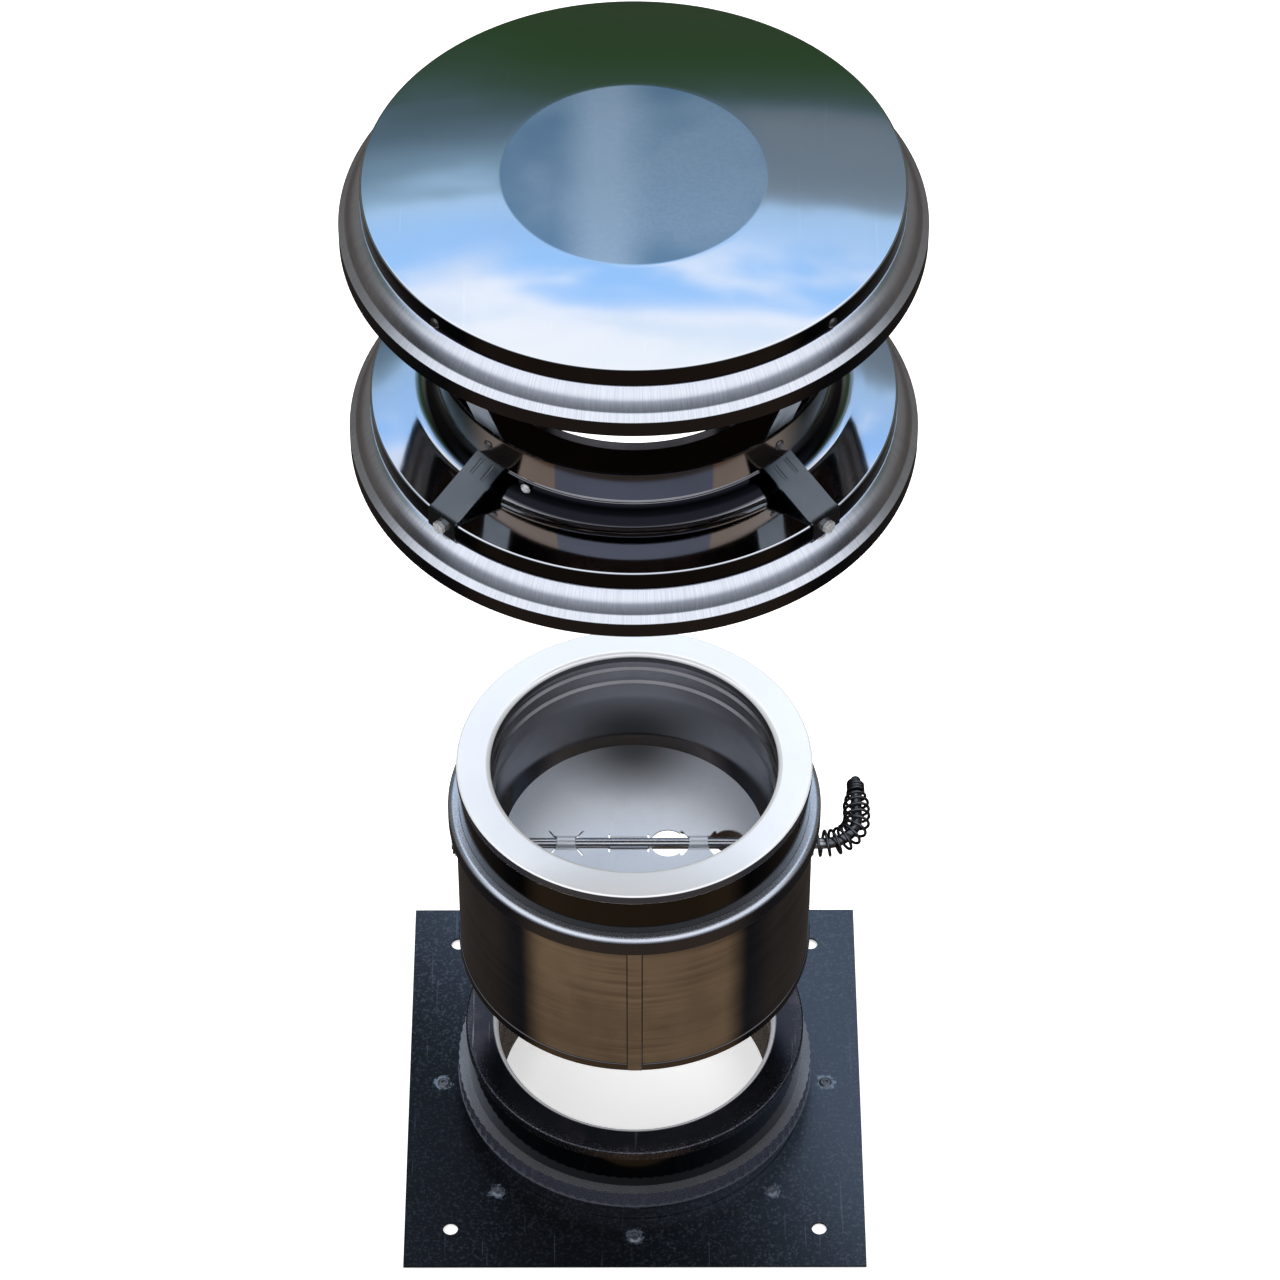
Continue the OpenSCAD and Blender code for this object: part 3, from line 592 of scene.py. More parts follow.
# painted reflection: the sky's sheen painted at the plate's rear right, fading to dark towards its
# front left
paintedSkySheen = {
    "reach": (-0.17, 0.12),
    "color": (0.075, 0.095, 0.130),
    "noise": (2.6, 1.0, 0.4),
    "wander": 0.12,
    "darkest": 0.35,
    "fewestFlecks": 0.35,
}
# ragged scuffs round the ring of rivets
scuffs = {
    "rivets": 8,
    "noise": (150, 4.0, 0.75),
    "ragged": -0.020,
    "edge": (-0.0050, -0.0030, 0.65, 0.0),
    "shine": 1.5,
}


def scuffMask(tree, place, rivetR):
    x, y = splitNode(tree, place)[:2]
    step = 2 * math.pi / scuffs["rivets"]
    turn = mathNode(tree, "DIVIDE", mathNode(tree, "ARCTAN2", y, x), step)
    fromRivet = mathNode(tree, "SUBTRACT", turn, mathNode(tree, "ROUND", turn))
    aside = multiply(tree, fromRivet, step * rivetR)
    off = mathNode(tree, "SUBTRACT", radiusNode(tree, place), rivetR)
    away = lengthNode(tree, aside, off)
    noise = noiseNode(tree, place, *scuffs["noise"])
    ragged = mathNode(tree, "MULTIPLY_ADD", noise, scuffs["ragged"], away)
    return rampNode(tree, ragged, *scuffs["edge"])


def makeGalvanised(name, color, paleColor, roughness, rivetR=None, paintedLight=False):
    metallic = zinc["metallic"]
    material, tree, place = startMaterial(name, color, metallic, roughness)
    flecks = noiseNode(tree, place, *zinc["fleckNoise"])
    patches = noiseNode(tree, place, *zinc["patchNoise"])
    scratches = groupNode(tree, scratchGroup, place, *zinc["scratches"])["Scratches"]
    fleckMask = multiply(tree, rampNode(tree, flecks, *zinc["fleckEdge"]),
                         rampNode(tree, patches, *zinc["fleckPatches"]))
    tone = mixColors(tree, rampNode(tree, patches, *zinc["patchEdge"]), color,
                     scaled(color, zinc["patchShine"]))
    # painted reflection: lighter towards the rear right, darker towards the front left
    if paintedLight:
        x, y = splitNode(tree, place)[:2]
        wander = mathNode(tree, "MULTIPLY_ADD", noiseNode(tree, place, *paintedSkySheen["noise"]),
                          paintedSkySheen["wander"], -paintedSkySheen["wander"] / 2)
        across = mathNode(tree, "ADD", mathNode(tree, "ADD", x, y), wander)
        share = rampNode(tree, across, *paintedSkySheen["reach"])
        tone = mixColors(tree, share, scaled(color, paintedSkySheen["darkest"]),
                         mixColors(tree, share, tone, paintedSkySheen["color"]))
        fleckMask = multiply(tree, fleckMask, between(tree, share, paintedSkySheen["fewestFlecks"], 1.0))
    shown = mixColors(tree, multiply(tree, fleckMask, zinc["fleckShare"]), tone, paleColor)
    if rivetR:
        scuffed = scuffMask(tree, place, rivetR)
        shown = mixColors(tree, scuffed, shown, scaled(paleColor, scuffs["shine"]))
    finish = between(tree, fleckMask, roughness, roughness + zinc["fleckExtra"])
    shown = mixColors(tree, scratches, shown, paleColor)
    return endMaterial(material, shown, finish, flecks, *zinc["bump"])


# matt steel with a fine grain
matt = {
    "grainNoise": (900, 2.0, 0.7),
    "grainEdge": (0.3, 0.7),
    "grainExtra": 0.06,
    "smudges": (14.0, 0.6),
    "speckShade": 0.45,
    "bump": (0.35, 0.00003),
}


def makeMatt(name, color, stainColor, roughness, metallic=1.0, uprightPaintedShade=None, spot=None):
    material, tree, place = startMaterial(name, color, metallic, roughness)
    grain = noiseNode(tree, place, *matt["grainNoise"])
    smudge = groupNode(tree, smudgeGroup, place, *matt["smudges"])
    shown = mixColors(tree, smudge["Smudges"], color, stainColor)
    shown = mixColors(tree, smudge["Specks"], shown, scaled(color, matt["speckShade"]))
    # painted shade: a darker patch round a given point
    if spot:
        moved = tree.nodes.new("ShaderNodeVectorMath")
        moved.inputs[1].default_value = (0, -spot["y"], 0)
        tree.links.new(place, moved.inputs[0])
        near = rampNode(tree, radiusNode(tree, moved.outputs[0]), *spot["reach"], 1.0, 0.0)
        shown = mixColors(tree, near, shown, scaled(color, spot["shade"]))
    if uprightPaintedShade:
        shown = paintUprightShade(tree, place, color, shown, *uprightPaintedShade)
    finish = rampNode(tree, grain, *matt["grainEdge"], roughness - matt["grainExtra"],
                      roughness + matt["grainExtra"])
    return endMaterial(material, shown, finish, grain, *matt["bump"])


# the collar's ring: dark sheet, mottled, dusty towards its outer edge, with a painted highlight on
# its rounded lip
darkRingLook = {
    "color": (0.046, 0.048, 0.058),
    "patchColor": (0.080, 0.072, 0.085),
    "dustColor": (0.5, 0.5, 0.54),
    "lipPaintedGlint": (0.80, 0.81, 0.86),
    "roughness": 0.20,
    "lipReach": (0.75, 1.1),  # times the mouth's rounding
    "lipMetallic": 0.3,
    "edgeWidth": 0.012,
    "edgeDust": 0.10,
    "patchNoise": (26, 5.0, 0.65),
    "patchEdge": (0.45, 0.65),
    "dustNoise": (700, 4.0, 0.8),
    "dustLimits": (0.60, 0.72),
    "dustShare": 0.30,
    "dustExtra": 0.25,
    "scratches": (40.0, 0.4),
    "bump": (0.3, 0.00005),
}


def makeDarkRing(name):
    color, roughness = darkRingLook["color"], darkRingLook["roughness"]
    material, tree, place = startMaterial(name, color, 1.0, roughness)
    radius = radiusNode(tree, place)
    lipFrom, lipTo = [socketR + wall["mouthRound"] * share for share in darkRingLook["lipReach"]]
    atLip = rampNode(tree, radius, lipFrom, lipTo, 1.0, 0.0)
    atEdge = rampNode(tree, radius, ringR - darkRingLook["edgeWidth"], ringR, 0.0, darkRingLook["edgeDust"])
    patches = patchNode(tree, place, darkRingLook["patchNoise"], darkRingLook["patchEdge"])
    fine = mathNode(tree, "ADD", noiseNode(tree, place, *darkRingLook["dustNoise"]), atEdge)
    dust = rampNode(tree, fine, *darkRingLook["dustLimits"])
    scratches = groupNode(tree, scratchGroup, place, *darkRingLook["scratches"])["Scratches"]
    shown = mixColors(tree, patches, color, darkRingLook["patchColor"])
    dustShare = multiply(tree, dust, darkRingLook["dustShare"])
    shown = mixColors(tree, dustShare, shown, darkRingLook["dustColor"])
    shown = mixColors(tree, scratches, shown, darkRingLook["dustColor"])
    # painted highlight along the rounded lip
    shown = mixColors(tree, atLip, shown, darkRingLook["lipPaintedGlint"])
    metallic = between(tree, atLip, 1.0, darkRingLook["lipMetallic"])
    tree.links.new(metallic, tree.nodes["Principled BSDF"].inputs["Metallic"])
    finish = between(tree, dust, roughness, roughness + darkRingLook["dustExtra"])
    return endMaterial(material, shown, finish, patches, *darkRingLook["bump"])


wool = {
    "color": (0.62, 0.55, 0.36),
    "shade": 0.7,
    "roughness": 0.95,
    "noise": (240, 6.0, 0.8),
    "bump": (0.8, 0.0006),
}


def makeWool(name):
    color, finish = wool["color"], wool["roughness"]
    material, tree, place = startMaterial(name, color, 0.0, finish)
    fibres = noiseNode(tree, place, *wool["noise"])
    shown = mixColors(tree, fibres, scaled(color, wool["shade"]), color)
    return endMaterial(material, shown, finish, fibres, *wool["bump"])


# glossy dark pipe, whose skirt above a height gets painted shade, almost black, as it mirrors next
# to nothing
def makeDarkShell(name, paintedShadeAbove=None):
    return makeMirror(name, (0.40, 0.39, 0.40), (0.17, 0.165, 0.17), 0.07, 0.0009, 9.0,
                      streak=(0.19, 0.18, 0.18), paintedShadeAbove=paintedShadeAbove)


# where finishes change, measured from an edge: the rivet scuffs, the dish's painted highlight and
# the rod's painted shade inside the spring
marks = {"rivetHeadR": 0.005, "dishEdge": 0.0016, "rodShade": 0.004}
rivetRingR = high("plate_rivets").x - marks["rivetHeadR"]
dishGlintR = discR - marks["dishEdge"]
rodShadeX = shellR + marks["rodShade"]
collarStep = collarTop - wall["socket"] - wall["beadHeight"]
# painted shade on the flap's rear edge at rest, standing for a darker reflection there
flapPaintedShade = {"y": high("flap_blade").y, "reach": (0.004, 0.070), "shade": 0.16}
# colour, soiled colour and roughness, with the darkness and the levels of the painted shade on
# upright sheet
steels = {
    "disc": makeMirror("discMirror", (0.88, 0.90, 0.92), (0.78, 0.82, 0.86), 0.045,
                       uprightPaintedShade=(0.04, 0.10, 0.50), satinR=disc["centreR"],
                       under=(0.10, 0.075, 0.068)),
    "dish": makeMirror("dishMirror", (0.80, 0.82, 0.86), (0.70, 0.71, 0.74), 0.06, 0.0009, 7.0,
                       uprightPaintedShade=(0.02, 0.80, 0.985, dishGlintR)),
    "rim": makeBrushed("rimBrushed", (0.89, 0.91, 0.97), (0.70, 0.72, 0.78), 0.23, 240.0,
                       uprightPaintedShade=(0.06, 0.10, 0.32)),
    # painted shade: the band is painted near black, with painted brown reflection on its flanks
    "band": makeMirror("bandMirror", (0.080, 0.085, 0.110), (0.060, 0.062, 0.080), 0.10,
                       paintedFlanks=(0.050, (0.17, 0.125, 0.095))),
    "ring": makeMirror("ringBright", (0.95, 0.96, 0.98), (0.88, 0.90, 0.94), 0.14, 0.0003, 12.0,
                       metallic=0.35, uprightPaintedShade=(0.03, 0.10, 0.40)),
    "bead": makeMatt("beadSatin", (0.74, 0.77, 0.83), (0.62, 0.64, 0.70), 0.30,
                     uprightPaintedShade=(0.16, 0.10, 0.45)),
    "shell": makeDarkShell("shellDark"),
    "damperShell": makeDarkShell("damperShellDark", low("damper_flange_ring").z),
    "collarShell": makeDarkShell("collarShellDark", collarStep),
    # painted shade: the hems are painted much darker than the shell's steel
    "hem": makeMirror("hemDark", (0.13, 0.12, 0.12), (0.08, 0.08, 0.08), 0.10, 0.0004, 12.0),
    # painted shade: the inner pipes are painted dark grey
    "pipe": makeMirror("pipeSheet", (0.22, 0.22, 0.235), (0.14, 0.13, 0.13), 0.18, 0.0006, 11.0),
    "oldPipe": makeMirror("collarPipeSheet", (0.34, 0.30, 0.27), (0.26, 0.22, 0.20), 0.2,
                          0.0006, 11.0, metallic=0.8),
    "flap": makeMatt("flapMatt", (0.80, 0.85, 0.93), (0.70, 0.74, 0.82), 0.34, metallic=0.45,
                     spot=flapPaintedShade),
    "rod": makeBrushed("rodWorn", (0.84, 0.86, 0.90), (0.40, 0.41, 0.43), 0.20, 45.0, 1.0,
                       paintedShadePast=rodShadeX),
    # painted reflection: the straps are painted dark, standing for the dark they mirror
    "strap": makeMirror("strapSteel", (0.13, 0.145, 0.16), (0.27, 0.29, 0.31), 0.20,
                        0.0011, 34.0),
    "bolt": makeMatt("boltZinc", (0.66, 0.67, 0.70), (0.42, 0.40, 0.38), 0.26, metallic=0.6),
    "darkRivet": makeMatt("rivetDark", (0.16, 0.15, 0.15), (0.10, 0.09, 0.09), 0.35),
    "spring": makeMatt("springOiled", (0.13, 0.13, 0.14), (0.08, 0.08, 0.08), 0.20),
    "plate": makeGalvanised("plateGalvanised", (0.026, 0.034, 0.047), (0.20, 0.25, 0.31), 0.38,
                            rivetRingR, paintedLight=True),
    "footRing": makeGalvanised("footGalvanised", (0.036, 0.046, 0.062), (0.24, 0.29, 0.36), 0.40),
    "plateRivet": makeGalvanised("rivetGalvanised", (0.10, 0.11, 0.13), (0.50, 0.53, 0.58), 0.35),
    "darkRing": makeDarkRing("collarRingDark"),
    "crimp": makeMatt("crimpSteel", (0.20, 0.21, 0.23), (0.14, 0.145, 0.16), 0.26,
                      metallic=0.75, uprightPaintedShade=(0.50, 0.10, 0.45)),
    "wool": makeWool("mineralWool"),
}
print("materials made:", len(steels))


# ring over the mouth of a unit
def makeTopRing(node, name, top, material):
    edge, mouth = wall["edgeRound"], wall["mouthRound"]
    outer = arc(ringR - edge, top - edge, edge, 0, 90)
    inner = arc(socketR + mouth, top - mouth, mouth, 90, 180, wall["mouthSteps"])
    path = [(ringR, top - wall["lip"])] + outer + inner + [(socketR, top - wall["lip"])]
    sheetPiece(node, name, path, material, wall["sheet"])


# outer pipe with its stepped-in skirt
def makeShell(node, name, top, material):
    foot = low(node).z
    inside = shellR - wall["sheet"]
    skirtInside = skirtR - wall["sheet"]
    step = top - wall["socket"] - wall["beadHeight"] / 2
    skirtTop = top - wall["sheet"] - wall["edgeRound"]
    outline = [(inside, foot), (shellR, foot), (shellR, step), (skirtR, step + wall["stepCone"]),
               (skirtR, skirtTop), (skirtInside, skirtTop), (skirtInside, step),
               (inside, step - wall["stepCone"])]
    piece = finishMesh(node, name, spin(outline), material, soft["bevel"])
    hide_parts(node)


# the rolled hem round a shell's foot
hem = {"out": 0.0008, "height": 0.007, "round": 0.0008, "sink": 0.0003, "steps": 6}


def makeHem(node, name):
    foot = low(node).z
    bend, steps = hem["round"], hem["steps"]
    centreR = shellR + hem["out"] - bend
    outline = [(shellR - hem["sink"], foot)]
    outline += arc(centreR, foot + bend, bend, -90, 0, steps)
    outline += arc(centreR, foot + hem["height"] - bend, bend, 0, 80, steps)
    outline += [(shellR - hem["sink"], foot + hem["height"])]
    finishMesh(node, name, spin(outline), steels["hem"], soft["bevel"])


# the socket's two grooves: the profile's points are shares of the depth and the width
groove = {
    "depth": 0.002,
    "width": 0.006,
    "pitch": 0.014,
    "profile": ((0, -0.5), (0.35, -0.4), (1, -0.18), (1, 0.18), (0.35, 0.4), (0, 0.5)),
}


# flue pipe, widened to a socket
def makeSocketPipe(node, name, top, material):
    def grooveAt(z):
        return [(socketR + groove["depth"] * out, z + groove["width"] * up)
                for out, up in groove["profile"]]

    upper = top - wall["lip"] - groove["width"]
    path = [(flueR, low(node).z), (flueR, top - wall["socket"] - 2 * wall["socketCone"]),
            (socketR, top - wall["socket"] - wall["socketCone"])]
    path += grooveAt(upper - groove["pitch"]) + grooveAt(upper) + [(socketR, top - wall["lip"])]
    sheetPiece(node, name, path, material)


bead = {"topRound": 0.004, "topSteps": 10, "footRound": 0.002}


def makeBead(node, name, top, material):
    foot = top - wall["beadHeight"]
    topRound, footRound = bead["topRound"], bead["footRound"]
    path = [(skirtR, top)]
    path += arc(beadR - topRound, top - topRound, topRound, 90, 0, bead["topSteps"])
    path += arc(beadR - footRound, foot + footRound, footRound, 0, -90) + [(shellR, foot)]
    sheetPiece(node, name, path, material)


makeTopRing("collar_top_ring", "collarTopRing", collarTop, steels["darkRing"])
makeTopRing("damper_top_ring", "damperTopRing", damperTop, steels["ring"])
makeShell("collar_outer_shell", "collarShell", collarTop, steels["collarShell"])
makeShell("damper_outer_shell", "damperShell", damperTop, steels["damperShell"])
makeHem("damper_outer_shell", "damperHem")
makeSocketPipe("collar_inner_pipe", "collarPipe", collarTop, steels["oldPipe"])
makeSocketPipe("damper_inner_pipe", "damperPipe", damperTop, steels["pipe"])
makeBead("damper_flange_ring", "damperBead", damperTop - wall["socket"], steels["bead"])
print("pipes made")

# the lap seam at the front of the damper's shell: a flat strip, lower towards its left edge
seam = {
    "width": 0.0115,
    "out": 0.0011,
    "sink": 0.0006,
    "edge": 0.0009,
    "footGap": 0.0004,
    "dip": 0.0002,
    "dipEnd": -0.0008,
    "crease": 20,
}


def makeSeam():
    node = "damper_outer_shell"
    foot = low(node).z + seam["footGap"]
    top = low("damper_flange_ring").z
    half, edge, dip = seam["width"] / 2, seam["edge"], seam["dip"]
    front = -shellR - seam["out"]
    back = -shellR + seam["sink"]
    outline = [(-half, front + edge + dip), (-half + edge, front + dip), (seam["dipEnd"], front),
               (half - edge, front), (half, front + edge), (half, back), (-half, back)]
    shape = bmesh.new()
    face = shape.faces.new([shape.verts.new((x, y, foot)) for x, y in outline])
    grown = bmesh.ops.extrude_face_region(shape, geom=[face])["geom"]
    raised = [v for v in grown if isinstance(v, bmesh.types.BMVert)]
    bmesh.ops.translate(shape, verts=raised, vec=(0, 0, top - foot))
    bmesh.ops.recalc_face_normals(shape, faces=shape.faces)
    finishMesh(node, "lapSeam", shape, steels["shell"], soft["bevel"], seam["crease"])


makeSeam()


# a disc's rounded edge and turned-down wall
def discEdge(z):
    edge = disc["edgeRound"]
    return arc(discR - edge, z - edge, edge, 90, 0) + [(discR, z - discWall)]


def makeCapDisc():
    edgeStart = discR - disc["edgeRound"]
    centreR, steps = disc["centreR"], disc["domeSteps"]

    def domeHeight(r):
        return disc["domeRise"] * (1 - (r / edgeStart) ** 2)

    flat = capZ + domeHeight(centreR)
    path = [(0, flat), (centreR / 2, flat), (centreR - disc["centreEdge"], flat)]
    rings = [centreR + (edgeStart - centreR) * i / steps for i in range(steps)]
    path += [(r, capZ + domeHeight(r)) for r in rings] + discEdge(capZ)
    sheetPiece("cap_disc", "capDisc", path, steels["disc"], closed=False)


# the brushed rim below a disc: a round shoulder, a steeper stretch, a valley, a flare and a
# turned-down lip
rim = {
    "flange": 0.0115,
    "out": 0.0001,
    "shoulder": 0.018,
    "steep": 0.036,
    "valley": 0.003,
    "flare": 0.0055,
    "crease": 0.0007,
    "lip": 0.011,
    "slopes": (62, 30, 20, 48),
    "steps": (20, 10, 8, 5),
}


# a stretch that carries on from the last point while its outward slope turns
def carryOn(path, radius, start, end, steps):
    x, z = path[-1]
    turn = math.radians(start)
    centre = x - radius * math.cos(turn), z - radius * math.sin(turn)
    return path + arc(*centre, radius, start, end, steps)[1:]


def makeRim(node, name, edgeZ):
    seat = edgeZ - discWall
    inside = discR - wall["sheet"]
    first, middle, lowest, flare = rim["slopes"]
    shoulderSteps, steepSteps, valleySteps, creaseSteps = rim["steps"]
    path = [(inside, seat + rim["flange"]), (inside, seat), (discR + rim["out"], seat)]
    path = carryOn(path, rim["shoulder"], first, middle, shoulderSteps)
    path = carryOn(path, rim["steep"], middle, lowest, steepSteps)
    path = carryOn(path, -rim["valley"], lowest, flare, valleySteps)
    x, z = path[-1]
    run = rim["flare"] - rim["crease"]
    slope = math.radians(flare)
    path.append((x + run * math.sin(slope), z - run * math.cos(slope)))
    path = carryOn(path, rim["crease"], flare, 0, creaseSteps)
    path.append((path[-1][0], z - rim["flare"] * math.cos(slope) - rim["lip"]))
    sheetPiece(node, name, path, steels["rim"])


dish = {
    "rise": 0.002,
    "sag": 1.4,
    "neckRound": 0.016,
    "neckSteps": 24,
    "neckGap": 0.0002,
    "footRows": 6,
}


def makeDish():
    neckR = shellR + dish["neckGap"] + wall["sheet"]
    fillet, rise = dish["neckRound"], dish["rise"]
    path = arc(neckR + fillet, dishZ + rise + fillet, fillet, 180, 270, dish["neckSteps"])
    start = path[-1][0]
    edgeStart = discR - disc["edgeRound"]
    for i in range(1, dish["footRows"]):
        share = i / dish["footRows"]
        fall = 1 - share ** dish["sag"]
        path.append((start + (edgeStart - start) * share, dishZ + rise * fall))
    sheetPiece("lower_dish", "lowerDish", path + discEdge(dishZ), steels["dish"])


makeCapDisc()
makeRim("cap_rim", "capRim", capZ)
makeRim("lower_rim", "lowerRim", dishZ)
makeDish()
print("discs made")

tube = {"bandSheet": 0.0012, "bevel": 0.00025}


# plain pipes as high as their nodes; the cowl's shell is narrower than its node, whose box
# includes the hem
def makeTube(node, name, outer, thickness, material):
    bottom, top = low(node).z, high(node).z
    inner = outer - thickness
    outline = [(inner, bottom), (outer, bottom), (outer, top), (inner, top)]
    piece = finishMesh(node, name, spin(outline), material, tube["bevel"])
    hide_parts(node)


makeTube("band_ring", "bandRing", high("band_ring").x, tube["bandSheet"], steels["band"])
makeTube("cowl_inner_pipe", "cowlPipe", spigotR, wall["sheet"], steels["pipe"])
makeTube("cowl_outer_shell", "cowlShell", shellR, wall["sheet"], steels["shell"])
makeHem("cowl_outer_shell", "cowlHem")

# finish and bevel of each dressed node, and its crease angle where it isn't the usual one
dressed = {
    "base_plate": ("plate", 0.0003),
    "collar_foot_ring": ("footRing", 0.0002),
    "collar_crimp_ring": ("crimp", 0.0003, 12),
    "plate_rivets": ("plateRivet", 0.0002),
    "flap_blade": ("flap", 0.00015),
    "damper_shaft": ("rod", 0.0002),
    "shaft_bush_left": ("bolt", 0.0002),
    "shaft_bush_right": ("bolt", 0.0002),
    "shaft_end_clip": ("spring", 0.0002),
    "leg_front_left": ("strap", 0.0003),
    "leg_front_right": ("strap", 0.0003),
    "leg_back_left": ("strap", 0.0003),
    "leg_back_right": ("strap", 0.0003),
    "leg_bolts": ("bolt", 0.0003),
    "leg_nuts": ("bolt", 0.0003),
    "band_rivets": ("darkRivet", 0.0002),
    "cap_wall_rivets": ("darkRivet", 0.0002),
    "neck_rivets": ("bolt", 0.0002),
}


def plainName(node):
    first, *rest = node.split("_")
    return first + "".join(word.capitalize() for word in rest)


for node, (finish, *softness) in dressed.items():
    dressNode(node, plainName(node), steels[finish], *softness)

# the nodes that stay as they are take their finish only
carried = {
    "collar_insulation": "wool",
    "damper_insulation": "wool",
    "cowl_insulation": "wool",
    "damper_bottom_ring": "bead",
    "cowl_top_ring": "shell",
    "cowl_bottom_ring": "bead",
}
for node, finish in carried.items():
    cadNodes[node].data.materials.clear()
    cadNodes[node].data.materials.append(steels[finish])
print("fittings dressed")

# the cool grip: a coil that follows the bent handle and narrows on to it at its end
grip = {
    "turns": 14,
    "tightTurns": 3,
    "tightPitch": 0.0026,
    "wire": 0.0022,
    "wireResolution": 4,
    "bendRadius": 0.024,
    "rodR": 0.004,
    "play": 0.0003,
    "pointsPerTurn": 28,
    "narrowsBefore": 2.5,  # turns ahead of the tight ones
    "narrowsOver": 3.0,
}


def makeGrip():
    boxLow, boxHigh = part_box("damper_shaft")
    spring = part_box("handle_spring")
    bendR, wireR = grip["bendRadius"], grip["wire"] / 2
    axisZ = (boxLow.z + boxHigh.z) / 2
    handleX = boxHigh.x - grip["rodR"]
    bendX = handleX - bendR
    startX = spring[0].x + wireR
    lead = bendX - startX
    bend = math.pi / 2 * bendR
    straight = spring[1].y - wireR - bendR
    total = lead + bend + straight
    wideR = (spring[1].z - spring[0].z - grip["wire"]) / 2
    tipR = grip["rodR"] + wireR + grip["play"]
    looseTurns = grip["turns"] - grip["tightTurns"]
    loosePitch = (total - grip["tightTurns"] * grip["tightPitch"]) / looseTurns
    curve = bpy.data.curves.new("handleSpring", "CURVE")
    curve.dimensions = "3D"
    curve.bevel_depth = wireR
    curve.bevel_resolution = grip["wireResolution"]
    curve.use_fill_caps = True
    count = grip["turns"] * grip["pointsPerTurn"]
    spline = curve.splines.new("POLY")
    spline.points.add(count)
    for i in range(count + 1):
        turn = i / grip["pointsPerTurn"]
        along = turn * loosePitch
        if turn > looseTurns:
            along = looseTurns * loosePitch + (turn - looseTurns) * grip["tightPitch"]
        heading = min(math.pi / 2, max(0.0, (along - lead) / bend * math.pi / 2))
        if along < lead:
            centre = Vector((startX + along, 0, axisZ))
        elif along < lead + bend:
            centre = Vector((bendX + bendR * math.sin(heading),
                             bendR * (1 - math.cos(heading)), axisZ))
        else:
            centre = Vector((handleX, bendR + along - lead - bend, axisZ))
        ease = (turn - looseTurns + grip["narrowsBefore"]) / grip["narrowsOver"]
        ease = min(1.0, max(0.0, ease))
        ease = ease * ease * (3 - 2 * ease)
        radius = wideR + (tipR - wideR) * ease
        angle = 2 * math.pi * turn + math.pi / 2
        side = Vector((-math.sin(heading) * math.cos(angle),
                       math.cos(heading) * math.cos(angle), math.sin(angle)))
        spline.points[i].co = (*(centre + radius * side), 1)
    holder = addObject("springCurve", curve)
    evaluated = holder.evaluated_get(bpy.context.evaluated_depsgraph_get())
    solid = bpy.data.meshes.new_from_object(evaluated)
    bpy.data.objects.remove(holder)
    solid.shade_smooth()
    solid.materials.clear()
    solid.materials.append(steels["spring"])
    piece = addObject("handleSpring", solid)
    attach(piece, "flap")
    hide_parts("handle_spring")


makeGrip()
print("grip wound")

# floor, light and camera
stage = {
    "floorSize": 8.0,
    "floorDrop": 0.0005,
    "floorColor": (0.94, 0.94, 0.94),
    "floorRoughness": 0.9,
    "floorGlow": 0.5,
    "eye": (0.0, -2.4331, 3.1131),
    "aim": (0.0040, 0.0, 0.4945),
    "focalPixels": 5207.6,
    "framePixels": 1280,
    "sensor": 36.0,
    "farClip": 50,
    "lampAim": (0, 0, 0.4),
}


def makeFloor():
    shape = bmesh.new()
    bmesh.ops.create_grid(shape, x_segments=1, y_segments=1, size=stage["floorSize"] / 2)
    mesh = bpy.data.meshes.new("floor")
    shape.to_mesh(mesh)
    shape.free()
    floor = addObject("floor", mesh)
    floor.location.z = -stage["floorDrop"]
    material, tree = startMaterial("paleFloor", stage["floorColor"], 0.0,
                                   stage["floorRoughness"])[:2]
    shader = tree.nodes["Principled BSDF"]
    shader.inputs["Emission Color"].default_value = (1, 1, 1, 1)
    shader.inputs["Emission Strength"].default_value = stage["floorGlow"]
    mesh.materials.append(material)
    floor.visible_glossy = False


def aimed(eye, aim):
    return (Vector(aim) - Vector(eye)).to_track_quat("-Z", "Y").to_euler()


def makeCamera():
    data = bpy.data.cameras.new("camera")
    camera = addObject("camera", data)
    data.sensor_width = stage["sensor"]
    data.lens = stage["focalPixels"] / stage["framePixels"] * stage["sensor"]
    data.clip_end = stage["farClip"]
    camera.location = stage["eye"]
    camera.rotation_euler = aimed(stage["eye"], stage["aim"])
    bpy.context.scene.camera = camera


lamps = {
    "overhead": {"at": (0.3, 0.6, 3.2), "size": 2.6, "power": 60, "color": (1.0, 1.0, 1.0)},
    "front": {"at": (-1.6, -2.6, 2.0), "size": 1.8, "power": 26, "color": (1.0, 0.99, 0.97)},
}


def makeLamps():
    for name, values in lamps.items():
        data = bpy.data.lights.new(name, "AREA")
        data.shape = "SQUARE"
        data.size = values["size"]
        data.energy = values["power"]
        data.color = values["color"]
        lamp = addObject(name, data)
        lamp.location = values["at"]
        lamp.rotation_euler = aimed(values["at"], stage["lampAim"])
        lamp.visible_glossy = False


# what the polished steel mirrors behind the object and in front of it, by degrees above
# the horizon
behindStops = [
    (-90, (0.02, 0.014, 0.011)),
    (-20, (0.06, 0.052, 0.046)),
    (0, (0.12, 0.112, 0.106)),
    (22, (0.14, 0.142, 0.14)),
    (31, (0.032, 0.045, 0.026)),
    (35.5, (0.023, 0.052, 0.019)),
    (37.4, (0.036, 0.066, 0.046)),
    (39.0, (0.074, 0.118, 0.155)),
    (41.3, (0.125, 0.195, 0.265)),
    (42.6, (0.185, 0.3, 0.405)),
    (43.5, (0.4, 0.58, 0.82)),
    (45.5, (0.33, 0.56, 0.92)),
    (47.6, (0.3, 0.57, 1.0)),
    (48.5, (0.86, 0.9, 1.0)),
    (49.4, (0.66, 0.78, 0.96)),
    (51, (0.84, 0.9, 0.98)),
    (56, (0.92, 0.94, 1.0)),
    (90, (0.86, 0.9, 1.0)),
]
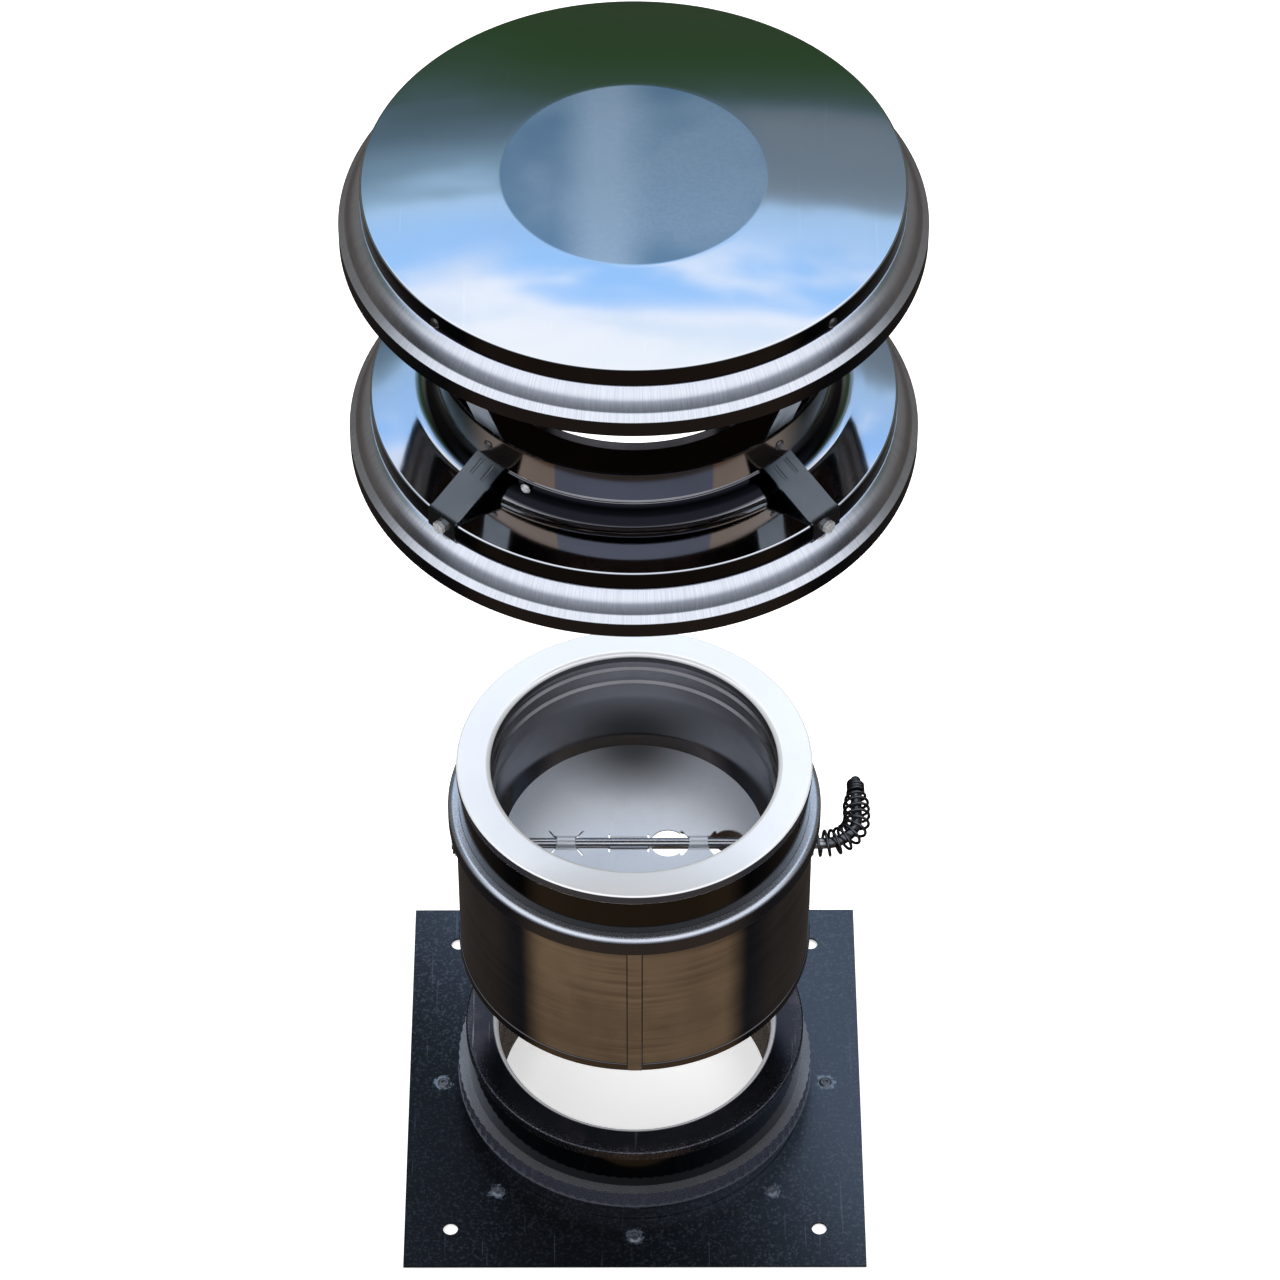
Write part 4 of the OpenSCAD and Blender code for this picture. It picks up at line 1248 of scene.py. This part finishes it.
frontStops = [
    (-90, (0.024, 0.017, 0.013)),
    (-60, (0.08, 0.056, 0.034)),
    (-49, (0.33, 0.225, 0.135)),
    (-38, (0.13, 0.088, 0.056)),
    (-20, (0.05, 0.048, 0.048)),
    (-5, (0.13, 0.14, 0.16)),
    (12, (0.24, 0.26, 0.3)),
    (20, (0.42, 0.45, 0.51)),
    (27, (0.85, 0.88, 0.95)),
    (40, (0.94, 0.96, 1.0)),
    (90, (0.86, 0.9, 1.0)),
]
scenery = {
    "strength": 1.08,
    "sides": (-0.35, 0.25),  # where the view behind gives way to the one in front
    "farGround": (0.016, 0.017, 0.021),
    "groundSpread": (0.16, 0.50),  # how far round the tan ground in front reaches
    "groundEnds": (0, 6),
    "leastLevel": 0.02,  # of a direction's level part
    "flatten": (1.0, 1.0, 4.5),
    "driftNoise": (3.2, 5.0, 0.6),
    "drift": (0.3, 0.7, -1.4, 1.4),  # the bands wander up and down by this much
    "leftShift": (-0.09, -0.02, 0.9, 0.0),  # and lie this much lower at the left
    "cloudNoise": (9.0, 6.0, 0.62),
    "cloudEdge": (0.50, 0.66),
    "cloudBase": (44.0, 47.0),
    "cloudCover": 0.85,
    "clouds": (0.92, 0.94, 1.00),
    "farWall": (0.160, 0.190, 0.225),  # a dull band at the right, between trees and sky
    "wallStarts": (0.03, 0.07),
    "wallFoot": (38.2, 39.4),
    "wallTop": (42.8, 43.6),
    "wallShare": 0.7,
}


def skyRamp(tree, height, stops):
    ramp = tree.nodes.new("ShaderNodeValToRGB")
    elements = ramp.color_ramp.elements
    for i, (degrees, color) in enumerate(stops):
        spot = (degrees + 90) / 180
        element = elements[i] if i < 2 else elements.new(spot)
        element.position = spot
        element.color = (*color, 1)
    share = mathNode(tree, "DIVIDE", mathNode(tree, "ADD", height, 90), 180)
    tree.links.new(share, ramp.inputs[0])
    return ramp.outputs[0]


# what is mirrored in the direction of place
def landscape(tree, place):
    x, y, z = splitNode(tree, place)
    height = multiply(tree, mathNode(tree, "ARCSINE", z), 180 / math.pi)
    flattened = stretchNode(tree, place, scenery["flatten"])
    drift = noiseNode(tree, flattened, *scenery["driftNoise"])
    drift = rampNode(tree, drift, *scenery["drift"], False)
    shifted = mathNode(tree, "ADD", height, drift)
    shifted = mathNode(tree, "ADD", shifted, rampNode(tree, x, *scenery["leftShift"]))

    behind = skyRamp(tree, shifted, behindStops)
    clouds = patchNode(tree, flattened, scenery["cloudNoise"], scenery["cloudEdge"])
    cover = multiply(tree, rampNode(tree, height, *scenery["cloudBase"]), scenery["cloudCover"])
    behind = mixColors(tree, multiply(tree, clouds, cover), behind, scenery["clouds"])
    wallHeight = multiply(tree, rampNode(tree, shifted, *scenery["wallFoot"]),
                          rampNode(tree, shifted, *scenery["wallTop"], 1.0, 0.0))
    atWall = multiply(tree, rampNode(tree, x, *scenery["wallStarts"]), wallHeight)
    atWall = multiply(tree, atWall, scenery["wallShare"])
    behind = mixColors(tree, atWall, behind, scenery["farWall"])

    inFront = skyRamp(tree, shifted, frontStops)
    level = mathNode(tree, "SQRT", mathNode(tree, "SUBTRACT", 1.0, multiply(tree, z, z)))
    level = mathNode(tree, "MAXIMUM", level, scenery["leastLevel"])
    facing = mathNode(tree, "DIVIDE", multiply(tree, y, -1), level)
    tan = rampNode(tree, facing, *scenery["groundSpread"])
    ground = mixColors(tree, tan, scenery["farGround"], inFront)
    aboveGround = rampNode(tree, height, *scenery["groundEnds"])
    inFront = mixColors(tree, aboveGround, ground, inFront)
    return mixColors(tree, rampNode(tree, facing, *scenery["sides"]), behind, inFront)


# the landscape is for reflections only, and plain white lights the object
def makeWorld():
    world = bpy.data.worlds.new("studio")
    bpy.context.scene.world = world
    world.use_nodes = True
    tree = world.node_tree
    tree.nodes.clear()
    output = tree.nodes.new("ShaderNodeOutputWorld")
    plain = tree.nodes.new("ShaderNodeBackground")
    plain.inputs["Color"].default_value = (1, 1, 1, 1)
    mirrored = tree.nodes.new("ShaderNodeBackground")
    mirrored.inputs["Strength"].default_value = scenery["strength"]
    choose = tree.nodes.new("ShaderNodeMixShader")
    path = tree.nodes.new("ShaderNodeLightPath")
    place = tree.nodes.new("ShaderNodeTexCoord").outputs["Generated"]
    tree.links.new(landscape(tree, place), mirrored.inputs["Color"])
    tree.links.new(path.outputs["Is Glossy Ray"], choose.inputs[0])
    tree.links.new(plain.outputs[0], choose.inputs[1])
    tree.links.new(mirrored.outputs[0], choose.inputs[2])
    tree.links.new(choose.outputs[0], output.inputs[0])
    bpy.context.scene.view_settings.view_transform = "Standard"


makeFloor()
makeCamera()
makeLamps()
makeWorld()
print("stage set")
